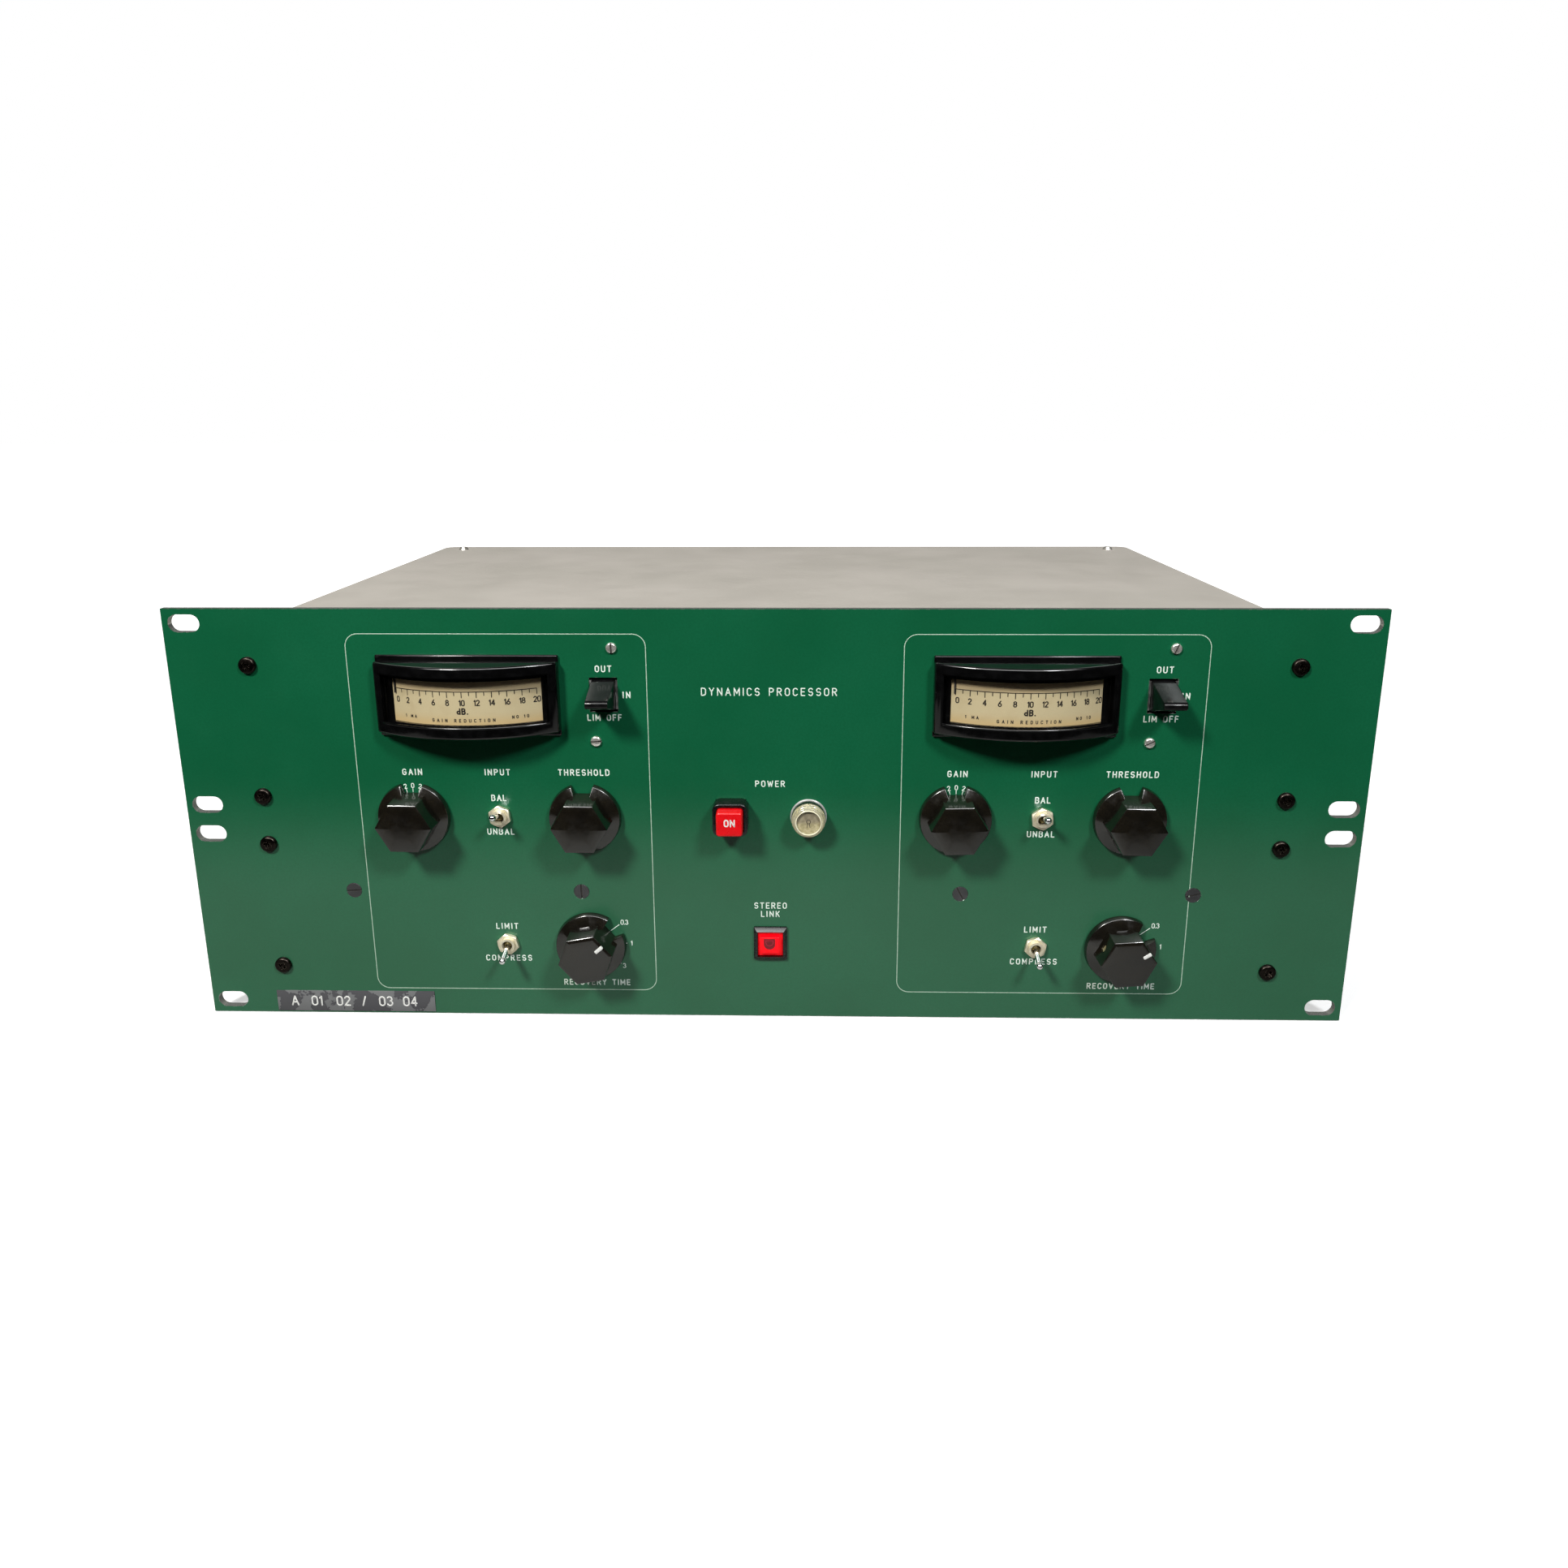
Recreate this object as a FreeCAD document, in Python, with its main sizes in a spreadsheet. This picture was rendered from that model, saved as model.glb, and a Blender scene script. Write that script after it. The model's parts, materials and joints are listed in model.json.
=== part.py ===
import FreeCAD, Part
import os
import re
import Sketcher

# Stereo rack compressor, millimetres.
#
# Row frame: +X to the viewer's right, +Y to the back, +Z up. The origin is the bottom centre of the
# object's box, so Z = 0 is the lower edge of the front panel and of the bottom cover.
#
# Two local frames are used, and every sub-part is placed by its own Placement:
#   panel frame:   x right, y up, z out of the front panel, z = 0 on the panel's front face
#   chassis frame: x right, y back from the panel's front face, z up

doc = FreeCAD.newDocument("rack_compressor")

# ---------------------------------------------------------------- driving dimensions
DIMENSIONS = (
    ("Rack panel, 19 inch and four units high", (
        ("panel_width", 482.6), ("panel_height", 177.0), ("panel_thick", 3.0),
        ("slot_span", 465.1), ("slot_rise", 165.1), ("slot_pair", 12.7),
        ("slot_length", 12.7), ("slot_width", 7.1),
    )),
    ("Chassis behind the panel", (
        ("chassis_width", 438.0), ("chassis_depth", 291.0), ("cover_top", 165.9),
        ("sheet_thick", 1.6), ("flange_wide", 20.0), ("corner_round", 6.0),
        ("front_reach", 17.0), ("rear_stand", 12.0),
    )),
    ("Layout of the controls: x from a channel's centre, y from the panel's lower edge", (
        ("channel_x", 111.1), ("control_dx", 35.3), ("control_y", 90.3),
        ("toggle_y", 90.55), ("recovery_y", 33.0), ("mode_y", 33.3),
        ("meter_dx", -9.2), ("meter_y", 142.0), ("key_dx", 44.9), ("key_y", 142.1),
        ("power_x", -15.8), ("power_y", 91.9), ("lamp_x", 15.9), ("lamp_y", 91.0), ("link_y", 34.5),
    )),
    ("Screws", (
        ("panel_screw_x", 208.7), ("panel_screw_r", 3.5), ("panel_screw_rise", 1.7),
        ("panel_shank_r", 1.95), ("bracket_screw_y", 57.0), ("bracket_screw_r", 3.25),
        ("bracket_x", 127.0), ("bracket_screw_dx", 48.0), ("small_shank_r", 1.5),
        ("key_screw_r", 2.1), ("case_screw_r", 3.0), ("case_screw_x", 204.6),
        ("case_screw_front", 20.0), ("case_screw_back", 277.0), ("rear_screw_x", 209.0),
    )),
    ("Knobs", (
        ("knob_gap", 0.5), ("skirt_r", 14.65), ("rim_top", 3.0), ("skirt_top", 4.9),
        ("skirt_inner_r", 10.4), ("knob_height", 15.3), ("hex_r", 12.0), ("hex_draft", 2.0),
        ("notch_inner", 6.4), ("notch_outer", 10.3), ("knob_hollow_r", 8.6), ("knob_hollow_top", 5.0),
        ("knob_bore_top", 12.5), ("grub_level", 9.0), ("grub_r", 1.5),
    )),
    ("Potentiometers and rotary switches", (
        ("shaft_r", 3.0), ("shaft_end", 12.4), ("bush_r", 4.7), ("bush_top", 3.8),
        ("pot_r", 12.0), ("pot_deep", 17.0), ("wafer_r", 13.0), ("nut_circle", 7.2),
        ("nut_top", 2.2), ("running_gap", 0.05), ("panel_gap", 0.2),
    )),
    ("Toggle switches", (
        ("toggle_bush_r", 3.1), ("toggle_bush_top", 3.0), ("toggle_bore_r", 2.15),
        ("toggle_nut_circle", 4.8), ("toggle_nut_top", 1.8), ("toggle_pivot", 0.6),
        ("toggle_tilt", 17.0), ("slack_tilt", 14.0), ("toggle_ball_r", 1.9), ("toggle_tip", 12.3),
        ("bat_r", 1.4),
    )),
    ("Lever key switches", (
        ("key_hole_wide", 11.4), ("key_hole_high", 14.3), ("key_wide", 9.4), ("key_barrel_r", 6.3),
        ("key_pivot", -1.5), ("key_lip_r", 1.75), ("key_axle_r", 0.95),
        ("key_plate_wide", 15.0), ("key_plate_high", 43.6),
        ("key_screw_dx", 3.8), ("key_screw_dy", 19.3),
    )),
    ("Edgewise meters", (
        ("meter_wide", 73.2), ("meter_high", 29.0), ("meter_front", 15.7), ("meter_round", 64.9),
        ("meter_wall", 4.5), ("meter_flange_high", 33.3), ("meter_flange_thick", 1.3),
        ("meter_body_wide", 67.0), ("meter_body_high", 25.0), ("meter_deep", 66.0),
        ("window_wide", 66.5), ("window_high", 19.5), ("scale_r", 59.5), ("scale_thick", 0.6),
        ("scale_half", 29.7), ("scale_top", 9.9), ("needle_foot", 1.9), ("needle_swing", 56.8),
    )),
    ("Buttons and lamp", (
        ("power_wide", 14.3), ("power_high", 13.8), ("power_rise", 8.0), ("power_cap_rise", 13.0),
        ("power_travel", 3.0), ("link_wide", 14.0), ("link_high", 14.6), ("link_rise", 2.6),
        ("link_cap_rise", 3.8), ("link_travel", 1.8), ("body_half", 6.1),
        ("lamp_ring_r", 7.5), ("lamp_collar_r", 7.05), ("lamp_collar_top", 3.9), ("lamp_lens_r", 6.9),
        ("lamp_body_r", 5.9), ("lamp_rise", 8.2),
    )),
    ("Boards, transformers and connectors inside and behind", (
        ("board_level", 51.5), ("board_thick", 1.6), ("board_half", 60.0), ("board_front", 40.0),
        ("board_back", 215.0), ("shelf_back", 58.0), ("power_board_level", 20.0),
        ("xlr_y", 125.0), ("inlet_x", 165.0), ("inlet_y", 45.0), ("fuse_y", 95.0), ("earth_x", 118.0),
    )),
)

sizes = doc.addObject("Spreadsheet::Sheet", "sizes")
aliases = []
row = 0
for heading, entries in DIMENSIONS:
    row += 1
    sizes.set(f"A{row}", heading)
    for alias, number in entries:
        row += 1
        sizes.set(f"A{row}", alias)
        sizes.set(f"B{row}", str(number))
        sizes.setAlias(f"B{row}", alias)
        aliases.append(alias)
doc.recompute()

ALIAS = re.compile(r"\b(" + "|".join(sorted(aliases, key=len, reverse=True)) + r")\b")
FACE_Y = "(front_reach - chassis_depth - rear_stand) / 2"
PANEL_VIEW = FreeCAD.Rotation(FreeCAD.Vector(1, 0, 0), 90)
OUT_OF_PANEL = FreeCAD.Vector(0, 0, 1)
CHANNELS = (("a", "-channel_x"), ("b", "channel_x"))


# ---------------------------------------------------------------- helpers: expressions and placement
def bound(text):
    """An expression in which each driving dimension is read from the sheet."""
    return ALIAS.sub(r"sizes.\1", str(text))


def value(text):
    """The number that an expression has now."""
    return float(sizes.evalExpression(bound(text)))


def bind(thing, **properties):
    for name, text in properties.items():
        thing.setExpression(name, bound(text))
    return thing


def place(thing, x=0, y=0, z=0, rotation=None):
    if rotation is not None:
        thing.Placement = FreeCAD.Placement(FreeCAD.Vector(), rotation)
    for axis, text in (("x", x), ("y", y), ("z", z)):
        thing.setExpression("Placement.Base." + axis, bound(text))
    return thing


def on_panel(thing, x=0, y=0, depth=0, turn=0):
    """Place a piece made in the panel frame; depth is how far its origin lies behind the face."""
    rotation = PANEL_VIEW.multiply(FreeCAD.Rotation(OUT_OF_PANEL, turn))
    return place(thing, x, f"{FACE_Y} + ({depth})", y, rotation)


def in_chassis(thing):
    return place(thing, 0, FACE_Y, 0)


# ---------------------------------------------------------------- helpers: primitives and booleans
def block(x0, x1, y0, y1, z0, z1):
    box = bind(doc.addObject("Part::Box", "block"), Length=f"({x1}) - ({x0})",
               Width=f"({y1}) - ({y0})", Height=f"({z1}) - ({z0})")
    return place(box, x0, y0, z0)


def centred(x, y, wide, high, z0, z1):
    """A block centred on x, y."""
    return block(f"({x}) - ({wide})/2", f"({x}) + ({wide})/2",
                 f"({y}) - ({high})/2", f"({y}) + ({high})/2", z0, z1)


def rod(radius, z0, z1, x=0, y=0):
    cylinder = bind(doc.addObject("Part::Cylinder", "rod"), Radius=radius, Height=f"({z1}) - ({z0})")
    return place(cylinder, x, y, z0)


def rod_x(radius, x0, x1, y=0, z=0):
    cylinder = bind(doc.addObject("Part::Cylinder", "rod"), Radius=radius, Height=f"({x1}) - ({x0})")
    return place(cylinder, x0, y, z, FreeCAD.Rotation(FreeCAD.Vector(0, 1, 0), 90))


def rod_y(radius, y0, y1, x=0, z=0):
    cylinder = bind(doc.addObject("Part::Cylinder", "rod"), Radius=radius, Height=f"({y1}) - ({y0})")
    return place(cylinder, x, y0, z, FreeCAD.Rotation(FreeCAD.Vector(1, 0, 0), -90))


def cone(radius0, radius1, z0, z1, x=0, y=0):
    thing = bind(doc.addObject("Part::Cone", "cone"), Radius1=radius0, Radius2=radius1,
                 Height=f"({z1}) - ({z0})")
    return place(thing, x, y, z0)


def hexagon(circle_r, z0, z1, x=0, y=0, turn=0):
    thing = doc.addObject("Part::Prism", "hexagon")
    thing.Polygon = 6
    bind(thing, Circumradius=circle_r, Height=f"({z1}) - ({z0})")
    return place(thing, x, y, z0, FreeCAD.Rotation(OUT_OF_PANEL, turn))


def fuse(*pieces):
    if len(pieces) == 1:
        return pieces[0]
    thing = doc.addObject("Part::MultiFuse", "fuse")
    thing.Shapes = list(pieces)
    thing.Refine = True
    return thing


def cut(base, *tools):
    thing = doc.addObject("Part::Cut", "cut")
    thing.Base = base
    thing.Tool = fuse(*tools)
    return thing


def common(first, second):
    thing = doc.addObject("Part::Common", "common")
    thing.Base = first
    thing.Tool = second
    return thing


def group(pieces):
    thing = doc.addObject("Part::Compound", "group")
    thing.Links = list(pieces)
    return thing


def slot(x, y, z0, z1):
    """A round-ended slot along x, as a solid to cut with."""
    half = "(slot_length - slot_width) / 2"
    return fuse(centred(x, y, "slot_length - slot_width", "slot_width", z0, z1),
                rod("slot_width/2", z0, z1, f"{x} - {half}", y),
                rod("slot_width/2", z0, z1, f"{x} + {half}", y))


def rounded(wide, high, corner, z0, z1):
    """A centred block whose four upright edges are rounded."""
    dx = f"({wide})/2 - ({corner})"
    dy = f"({high})/2 - ({corner})"
    corners = [rod(corner, z0, z1, f"{i}*({dx})", f"{j}*({dy})") for i in (-1, 1) for j in (-1, 1)]
    return fuse(centred(0, 0, wide, f"({high}) - 2*({corner})", z0, z1),
                centred(0, 0, f"({wide}) - 2*({corner})", high, z0, z1), *corners)


def bowed(piece, radius):
    """What lies inside the meter's upright cylinder of this radius."""
    drum = rod_y(radius, -40, 40, 0, "meter_front - meter_round")
    return common(piece, drum)


# ---------------------------------------------------------------- helpers: bodies with sketches
def new_body():
    return doc.addObject("PartDesign::Body", "body")


def new_sketch(body, role="XY_Plane", level=0):
    plane = [feature for feature in body.Origin.OriginFeatures if feature.Role == role][0]
    sketch = body.newObject("Sketcher::SketchObject", "sketch")
    sketch.AttachmentSupport = (plane, [""])
    sketch.MapMode = "FlatFace"
    sketch.setExpression("AttachmentOffset.Base.z", bound(level))
    return sketch


def fix_point(sketch, edge, end, x, y):
    for kind, text in (("DistanceX", x), ("DistanceY", y)):
        index = sketch.addConstraint(Sketcher.Constraint(kind, -1, 1, edge, end, value(text)))
        sketch.setExpression(f"Constraints[{index}]", bound(text))


def polygon(sketch, points):
    """A closed outline of straight edges whose corners are bound to the sheet."""
    corners = [FreeCAD.Vector(value(x), value(y), 0) for x, y in points]
    first = len(sketch.Geometry)
    for i, corner in enumerate(corners):
        sketch.addGeometry(Part.LineSegment(corner, corners[(i + 1) % len(corners)]))
    for i in range(len(corners)):
        following = first + (i + 1) % len(corners)
        sketch.addConstraint(Sketcher.Constraint("Coincident", first + i, 2, following, 1))
    for i, (x, y) in enumerate(points):
        fix_point(sketch, first + i, 1, x, y)


def rectangle(sketch, half_x, half_y):
    polygon(sketch, [(f"{i}*({half_x})", f"{j}*({half_y})") for i, j in ((-1, -1), (1, -1), (1, 1), (-1, 1))])


def circle(sketch, radius, x=0, y=0):
    centre = FreeCAD.Vector(value(x), value(y), 0)
    edge = sketch.addGeometry(Part.Circle(centre, OUT_OF_PANEL, value(radius)))
    fix_point(sketch, edge, 3, x, y)
    index = sketch.addConstraint(Sketcher.Constraint("Radius", edge, value(radius)))
    sketch.setExpression(f"Constraints[{index}]", bound(radius))


def pad(body, sketch, length, reverse=False, symmetric=False, draft=0):
    feature = body.newObject("PartDesign::Pad", "pad")
    feature.Profile = sketch
    feature.Reversed = reverse
    if symmetric:
        feature.SideType = "Symmetric"
    bind(feature, Length=length, TaperAngle=draft)
    return feature


def pocket(body, sketch, length, reverse=False):
    feature = body.newObject("PartDesign::Pocket", "pocket")
    feature.Profile = sketch
    feature.Reversed = reverse
    bind(feature, Length=length)
    return feature


def turned(points):
    """A body of revolution about z; points are radius, height pairs."""
    body = new_body()
    sketch = new_sketch(body, "XZ_Plane")
    polygon(sketch, points)
    feature = body.newObject("PartDesign::Revolution", "turning")
    feature.Profile = sketch
    feature.ReferenceAxis = (sketch, ["V_Axis"])
    feature.Angle = 360
    return body


NODES = {}


def node(label, thing):
    thing.Label = label
    NODES[label] = thing


# ---------------------------------------------------------------- front panel
RACK_HEIGHTS = ("panel_height/2 - slot_rise/2", "panel_height/2 - slot_pair/2",
                "panel_height/2 + slot_pair/2", "panel_height/2 + slot_rise/2")
PANEL_SCREW_HEIGHTS = (22.5, 77.8, 98.7, 154.1)


def panel_screw_places():
    return [(f"{side}*panel_screw_x", height) for side in (-1, 1) for height in PANEL_SCREW_HEIGHTS]


def bracket_screw_places():
    return [(f"{side}*bracket_x + {end}*bracket_screw_dx", "bracket_screw_y")
            for side in (-1, 1) for end in (-1, 1)]


def key_screw_places():
    return [(f"{centre} + key_dx + {end}*key_screw_dx", f"key_y + {end}*key_screw_dy")
            for _, centre in CHANNELS for end in (-1, 1)]


def make_front_panel():
    back = "-panel_thick - 1"
    plate = centred(0, "panel_height/2", "panel_width", "panel_height", "-panel_thick", 0)
    tools = [slot(f"{side}*slot_span/2", height, back, 1) for side in (-1, 1) for height in RACK_HEIGHTS]
    tools += [rod("panel_shank_r + panel_gap", back, 1, x, y) for x, y in panel_screw_places()]
    for x, y in bracket_screw_places():
        tools.append(rod("small_shank_r + panel_gap", back, 1, x, y))
        tools.append(cone("small_shank_r", "bracket_screw_r + panel_gap/2", "-1.9", "0.02", x, y))
    tools += [rod("small_shank_r + panel_gap", back, 1, x, y) for x, y in key_screw_places()]
    for _, centre in CHANNELS:
        for dx, y in (("-control_dx", "control_y"), ("control_dx", "control_y"),
                      ("control_dx", "recovery_y")):
            tools.append(rod("bush_r + panel_gap", back, 1, f"{centre} + ({dx})", y))
        for y in ("toggle_y", "mode_y"):
            tools.append(rod("toggle_bush_r + panel_gap", back, 1, centre, y))
        tools.append(centred(f"{centre} + meter_dx", "meter_y", "meter_body_wide + 4*panel_gap",
                             "meter_body_high + 4*panel_gap", back, 1))
        tools.append(centred(f"{centre} + key_dx", "key_y", "key_hole_wide", "key_hole_high", back, 1))
    body_wide = "2*body_half + 2*panel_gap"
    tools.append(centred("power_x", "power_y", body_wide, body_wide, back, 1))
    tools.append(centred(0, "link_y", body_wide, body_wide, back, 1))
    tools.append(rod("lamp_body_r + panel_gap", back, 1, "lamp_x", "lamp_y"))
    node("front_panel", on_panel(cut(plate, *tools)))


# ---------------------------------------------------------------- chassis sheets
CASE_SCREW_DEPTHS = ("case_screw_front", "case_screw_back")
REAR_SCREW_HEIGHTS = (20, 83, 146)


def make_side_plate(label, side):
    inner = f"{side}*(chassis_width/2 - flange_wide)"
    web = f"{side}*(chassis_width/2 - sheet_thick)"
    outer = f"{side}*chassis_width/2"
    if side < 0:
        span = (outer, inner)
        wall = (outer, web)
    else:
        span = (inner, outer)
        wall = (web, outer)
    front = "panel_thick"
    back = "chassis_depth - sheet_thick"
    low = "sheet_thick"
    high = "cover_top - sheet_thick"
    plate = fuse(block(*wall, front, back, low, high),
                 block(*span, front, f"{front} + sheet_thick", low, high),
                 block(*span, f"{back} - sheet_thick", back, low, high),
                 block(*span, front, back, low, f"{low} + sheet_thick"),
                 block(*span, front, back, f"{high} - sheet_thick", high))
    tools = [rod_y("panel_shank_r + panel_gap/2", 0, 10, f"{side}*panel_screw_x", z)
             for z in PANEL_SCREW_HEIGHTS]
    tools += [rod_y("small_shank_r + panel_gap/2", "chassis_depth - 8", "chassis_depth",
                    f"{side}*rear_screw_x", z) for z in REAR_SCREW_HEIGHTS]
    tools += [rod("small_shank_r + panel_gap/2", 0, "cover_top", f"{side}*case_screw_x", y)
              for y in CASE_SCREW_DEPTHS]
    node(label, in_chassis(cut(plate, *tools)))


def cover_sheet(z0, z1):
    """A flat cover whose rear corners are rounded, with its screw holes."""
    half = "chassis_width/2"
    rear = "chassis_depth - corner_round"
    corners = [rod("corner_round", z0, z1, f"{side}*({half} - corner_round)", rear) for side in (-1, 1)]
    sheet = fuse(block(f"-{half}", half, "panel_thick", rear, z0, z1),
                 block(f"corner_round - {half}", f"{half} - corner_round", "panel_thick",
                       "chassis_depth", z0, z1), *corners)
    holes = [rod("small_shank_r + panel_gap", f"{z0} - 1", f"{z1} + 1", f"{side}*case_screw_x", y)
             for side in (-1, 1) for y in CASE_SCREW_DEPTHS]
    return cut(sheet, *holes)


def make_covers():
    node("top_cover", in_chassis(cover_sheet("cover_top - sheet_thick", "cover_top")))
    sheet = cover_sheet(0, "sheet_thick")
    vents = [centred(f"{22*i}", y, 6, 44, -1, "sheet_thick + 1") for i in range(-7, 8) for y in (60, 150)
             if abs(i) > 2]
    recesses = [cone("case_screw_r + panel_gap", "small_shank_r", "-0.02", 1.4, f"{side}*case_screw_x", y)
                for side in (-1, 1) for y in CASE_SCREW_DEPTHS]
    node("bottom_cover", in_chassis(cut(sheet, *vents, *recesses)))


XLR_PLACES = (("input", -165), ("output", -125), ("input", 45), ("output", 85))
XLR_SCREWS = ((-9.5, 12.0), (9.5, -12.0))
INLET_SCREW_DX = 20.0
REAR_HOLE_SPAN = ("chassis_depth - sheet_thick - 1", "chassis_depth + 1")


def make_rear_panel():
    plate = block("-chassis_width/2", "chassis_width/2", "chassis_depth - sheet_thick", "chassis_depth",
                  "sheet_thick", "cover_top - sheet_thick")
    tools = [rod_y("small_shank_r + panel_gap", *REAR_HOLE_SPAN, f"{side}*rear_screw_x", z)
             for side in (-1, 1) for z in REAR_SCREW_HEIGHTS]
    for _, x in XLR_PLACES:
        tools.append(rod_y("11.8 + panel_gap", *REAR_HOLE_SPAN, x, "xlr_y"))
        tools += [rod_y("small_shank_r + panel_gap/2", *REAR_HOLE_SPAN, f"{x} + {dx}", f"xlr_y + {dz}")
                  for dx, dz in XLR_SCREWS]
    tools += [rod_y("small_shank_r + panel_gap/2", *REAR_HOLE_SPAN, f"inlet_x + {side}*{INLET_SCREW_DX}",
                    "inlet_y") for side in (-1, 1)]
    tools.append(block("inlet_x - 14.2", "inlet_x + 14.2", *REAR_HOLE_SPAN, "inlet_y - 10.2",
                       "inlet_y + 10.2"))
    tools.append(rod_y("6 + panel_gap", *REAR_HOLE_SPAN, "inlet_x", "fuse_y"))
    tools.append(rod_y("2 + panel_gap", *REAR_HOLE_SPAN, "earth_x", "inlet_y"))
    tools += [block(f"{12*i} - 2.5", f"{12*i} + 2.5", *REAR_HOLE_SPAN, 18, 62) for i in range(-14, -5)]
    node("rear_panel", in_chassis(cut(plate, *tools)))


# ---------------------------------------------------------------- screws
def cross_recess(x, y, top, reach=2.0, wide=0.8):
    return (centred(x, y, 2*reach, wide, f"{top} - 1.0", f"{top} + 1"),
            centred(x, y, wide, 2*reach, f"{top} - 1.0", f"{top} + 1"))


def make_panel_screws():
    screws = []
    for x, y in panel_screw_places():
        head = cone("panel_screw_r", "panel_screw_r - 0.9", 0, "panel_screw_rise", x, y)
        shank = rod("panel_shank_r", "-panel_thick - 6", 0, x, y)
        screws.append(cut(fuse(head, shank), *cross_recess(x, y, "panel_screw_rise")))
    node("panel_screws", on_panel(group(screws)))


def make_bracket_screws():
    screws = []
    for (x, y), turn in zip(bracket_screw_places(), (5, 90, 40, 15)):
        head = cone("small_shank_r", "bracket_screw_r", -1.8, 0, x, y)
        shank = rod("small_shank_r", "-panel_thick - 5", -1.8, x, y)
        groove = block(-4, 4, -0.4, 0.4, -0.8, 1)
        place(groove, f"{x} - 4*cos({turn}) + 0.4*sin({turn})", f"{y} - 4*sin({turn}) - 0.4*cos({turn})",
              -0.8, FreeCAD.Rotation(OUT_OF_PANEL, turn))
        screws.append(cut(fuse(head, shank), groove))
    node("bracket_screws", on_panel(group(screws)))


def make_key_screws():
    screws = []
    for (x, y), upright in zip(key_screw_places(), (False, True, False, True)):
        head = cone("key_screw_r", "key_screw_r - 0.6", 0, 1.2, x, y)
        shank = rod("small_shank_r", "-panel_thick - 4", 0, x, y)
        if upright:
            groove = centred(x, y, 0.7, 6, 0.5, 2)
        else:
            groove = centred(x, y, 6, 0.7, 0.5, 2)
        screws.append(cut(fuse(head, shank), groove))
    node("key_screws", on_panel(group(screws)))


def make_case_screws():
    screws = []
    for side in (-1, 1):
        x = f"{side}*case_screw_x"
        for y in CASE_SCREW_DEPTHS:
            head = cone("case_screw_r", "case_screw_r - 0.9", "cover_top", "cover_top + 1.6", x, y)
            shank = rod("small_shank_r", "cover_top - 6", "cover_top", x, y)
            screws.append(cut(fuse(head, shank), *cross_recess(x, y, "cover_top + 1.6", 1.7, 0.7)))
            head = cone("case_screw_r", "small_shank_r", 0, 1.3, x, y)
            shank = rod("small_shank_r", 1.3, 6, x, y)
            screws.append(fuse(head, shank))
    node("case_screws", in_chassis(group(screws)))


def rear_screw(x, z, stand):
    """A screw driven from behind, its head resting on a surface that far behind the rear panel."""
    head = f"chassis_depth + {stand}"
    return fuse(rod_y("case_screw_r - 0.2", head, f"{head} + 1.5", x, z),
                rod_y("small_shank_r", "chassis_depth - 5", head, x, z))


def make_rear_screws():
    screws = [rear_screw(f"{side}*rear_screw_x", z, 0) for side in (-1, 1) for z in REAR_SCREW_HEIGHTS]
    for _, x in XLR_PLACES:
        screws += [rear_screw(f"{x} + {dx}", f"xlr_y + {dz}", 2) for dx, dz in XLR_SCREWS]
    screws += [rear_screw(f"inlet_x + {side}*{INLET_SCREW_DX}", "inlet_y", 3) for side in (-1, 1)]
    node("rear_screws", in_chassis(group(screws)))


# ---------------------------------------------------------------- knobs, shafts and their controls
GRUB_TURN = 210


def radial(thing, inner, level):
    """Lay a rod that was made along z out from the knob's axis, towards the grub screw's side."""
    rotation = FreeCAD.Rotation(OUT_OF_PANEL, GRUB_TURN).multiply(
        FreeCAD.Rotation(FreeCAD.Vector(0, 1, 0), 90))
    return place(thing, f"{inner}*cos({GRUB_TURN})", f"{inner}*sin({GRUB_TURN})", level, rotation)


def make_knob(label, x, y, turn):
    body = turned([("0", "knob_gap"), ("skirt_r", "knob_gap"), ("skirt_r", "rim_top"),
                   ("skirt_inner_r", "skirt_top"), ("0", "skirt_top")])
    notch = new_sketch(body, level="knob_gap - 0.2")
    polygon(notch, [("-notch_inner/2", "hex_r*sqrt(3)/2 - 0.5"), ("-notch_outer/2", "skirt_r + 1"),
                    ("notch_outer/2", "skirt_r + 1"), ("notch_inner/2", "hex_r*sqrt(3)/2 - 0.5")])
    pocket(body, notch, "skirt_top", reverse=True)
    grip = new_sketch(body, level="knob_gap")
    polygon(grip, [(f"hex_r*cos({60*i})", f"hex_r*sin({60*i})") for i in range(6)])
    pad(body, grip, "knob_height - knob_gap", draft="-hex_draft")
    hollow = new_sketch(body, level="knob_gap")
    circle(hollow, "knob_hollow_r")
    pocket(body, hollow, "knob_hollow_top - knob_gap", reverse=True)
    bore = new_sketch(body, level="knob_gap")
    circle(bore, "shaft_r + running_gap/2")
    pocket(body, bore, "knob_bore_top - knob_gap", reverse=True)
    tapped = radial(rod("grub_r + running_gap", 0, 16), 1, "grub_level")
    node(label, on_panel(cut(body, tapped), x, y, turn=turn))


def make_shaft(label, x, y, turn):
    """The control's spindle, and the grub screw that holds the knob on it."""
    spindle = rod("shaft_r", -7, "shaft_end")
    grub = radial(rod("grub_r", 0, "hex_r*0.72 - shaft_r"), "(shaft_r + 0.02)", "grub_level")
    node(label, on_panel(group([spindle, grub]), x, y, turn=turn))


def control_places():
    """Label, x, y and rest turn of the six rotary controls."""
    for channel, centre in CHANNELS:
        yield "gain", channel, f"{centre} - control_dx", "control_y", 0
        yield "threshold", channel, f"{centre} + control_dx", "control_y", 0
        yield "recovery", channel, f"{centre} + control_dx", "recovery_y", -54


def bushing(x, y):
    return rod("bush_r", "-panel_thick - 0.5", "bush_top", x, y)


def shaft_hole(x, y):
    return rod("shaft_r + running_gap", -8, "bush_top + 1", x, y)


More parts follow.
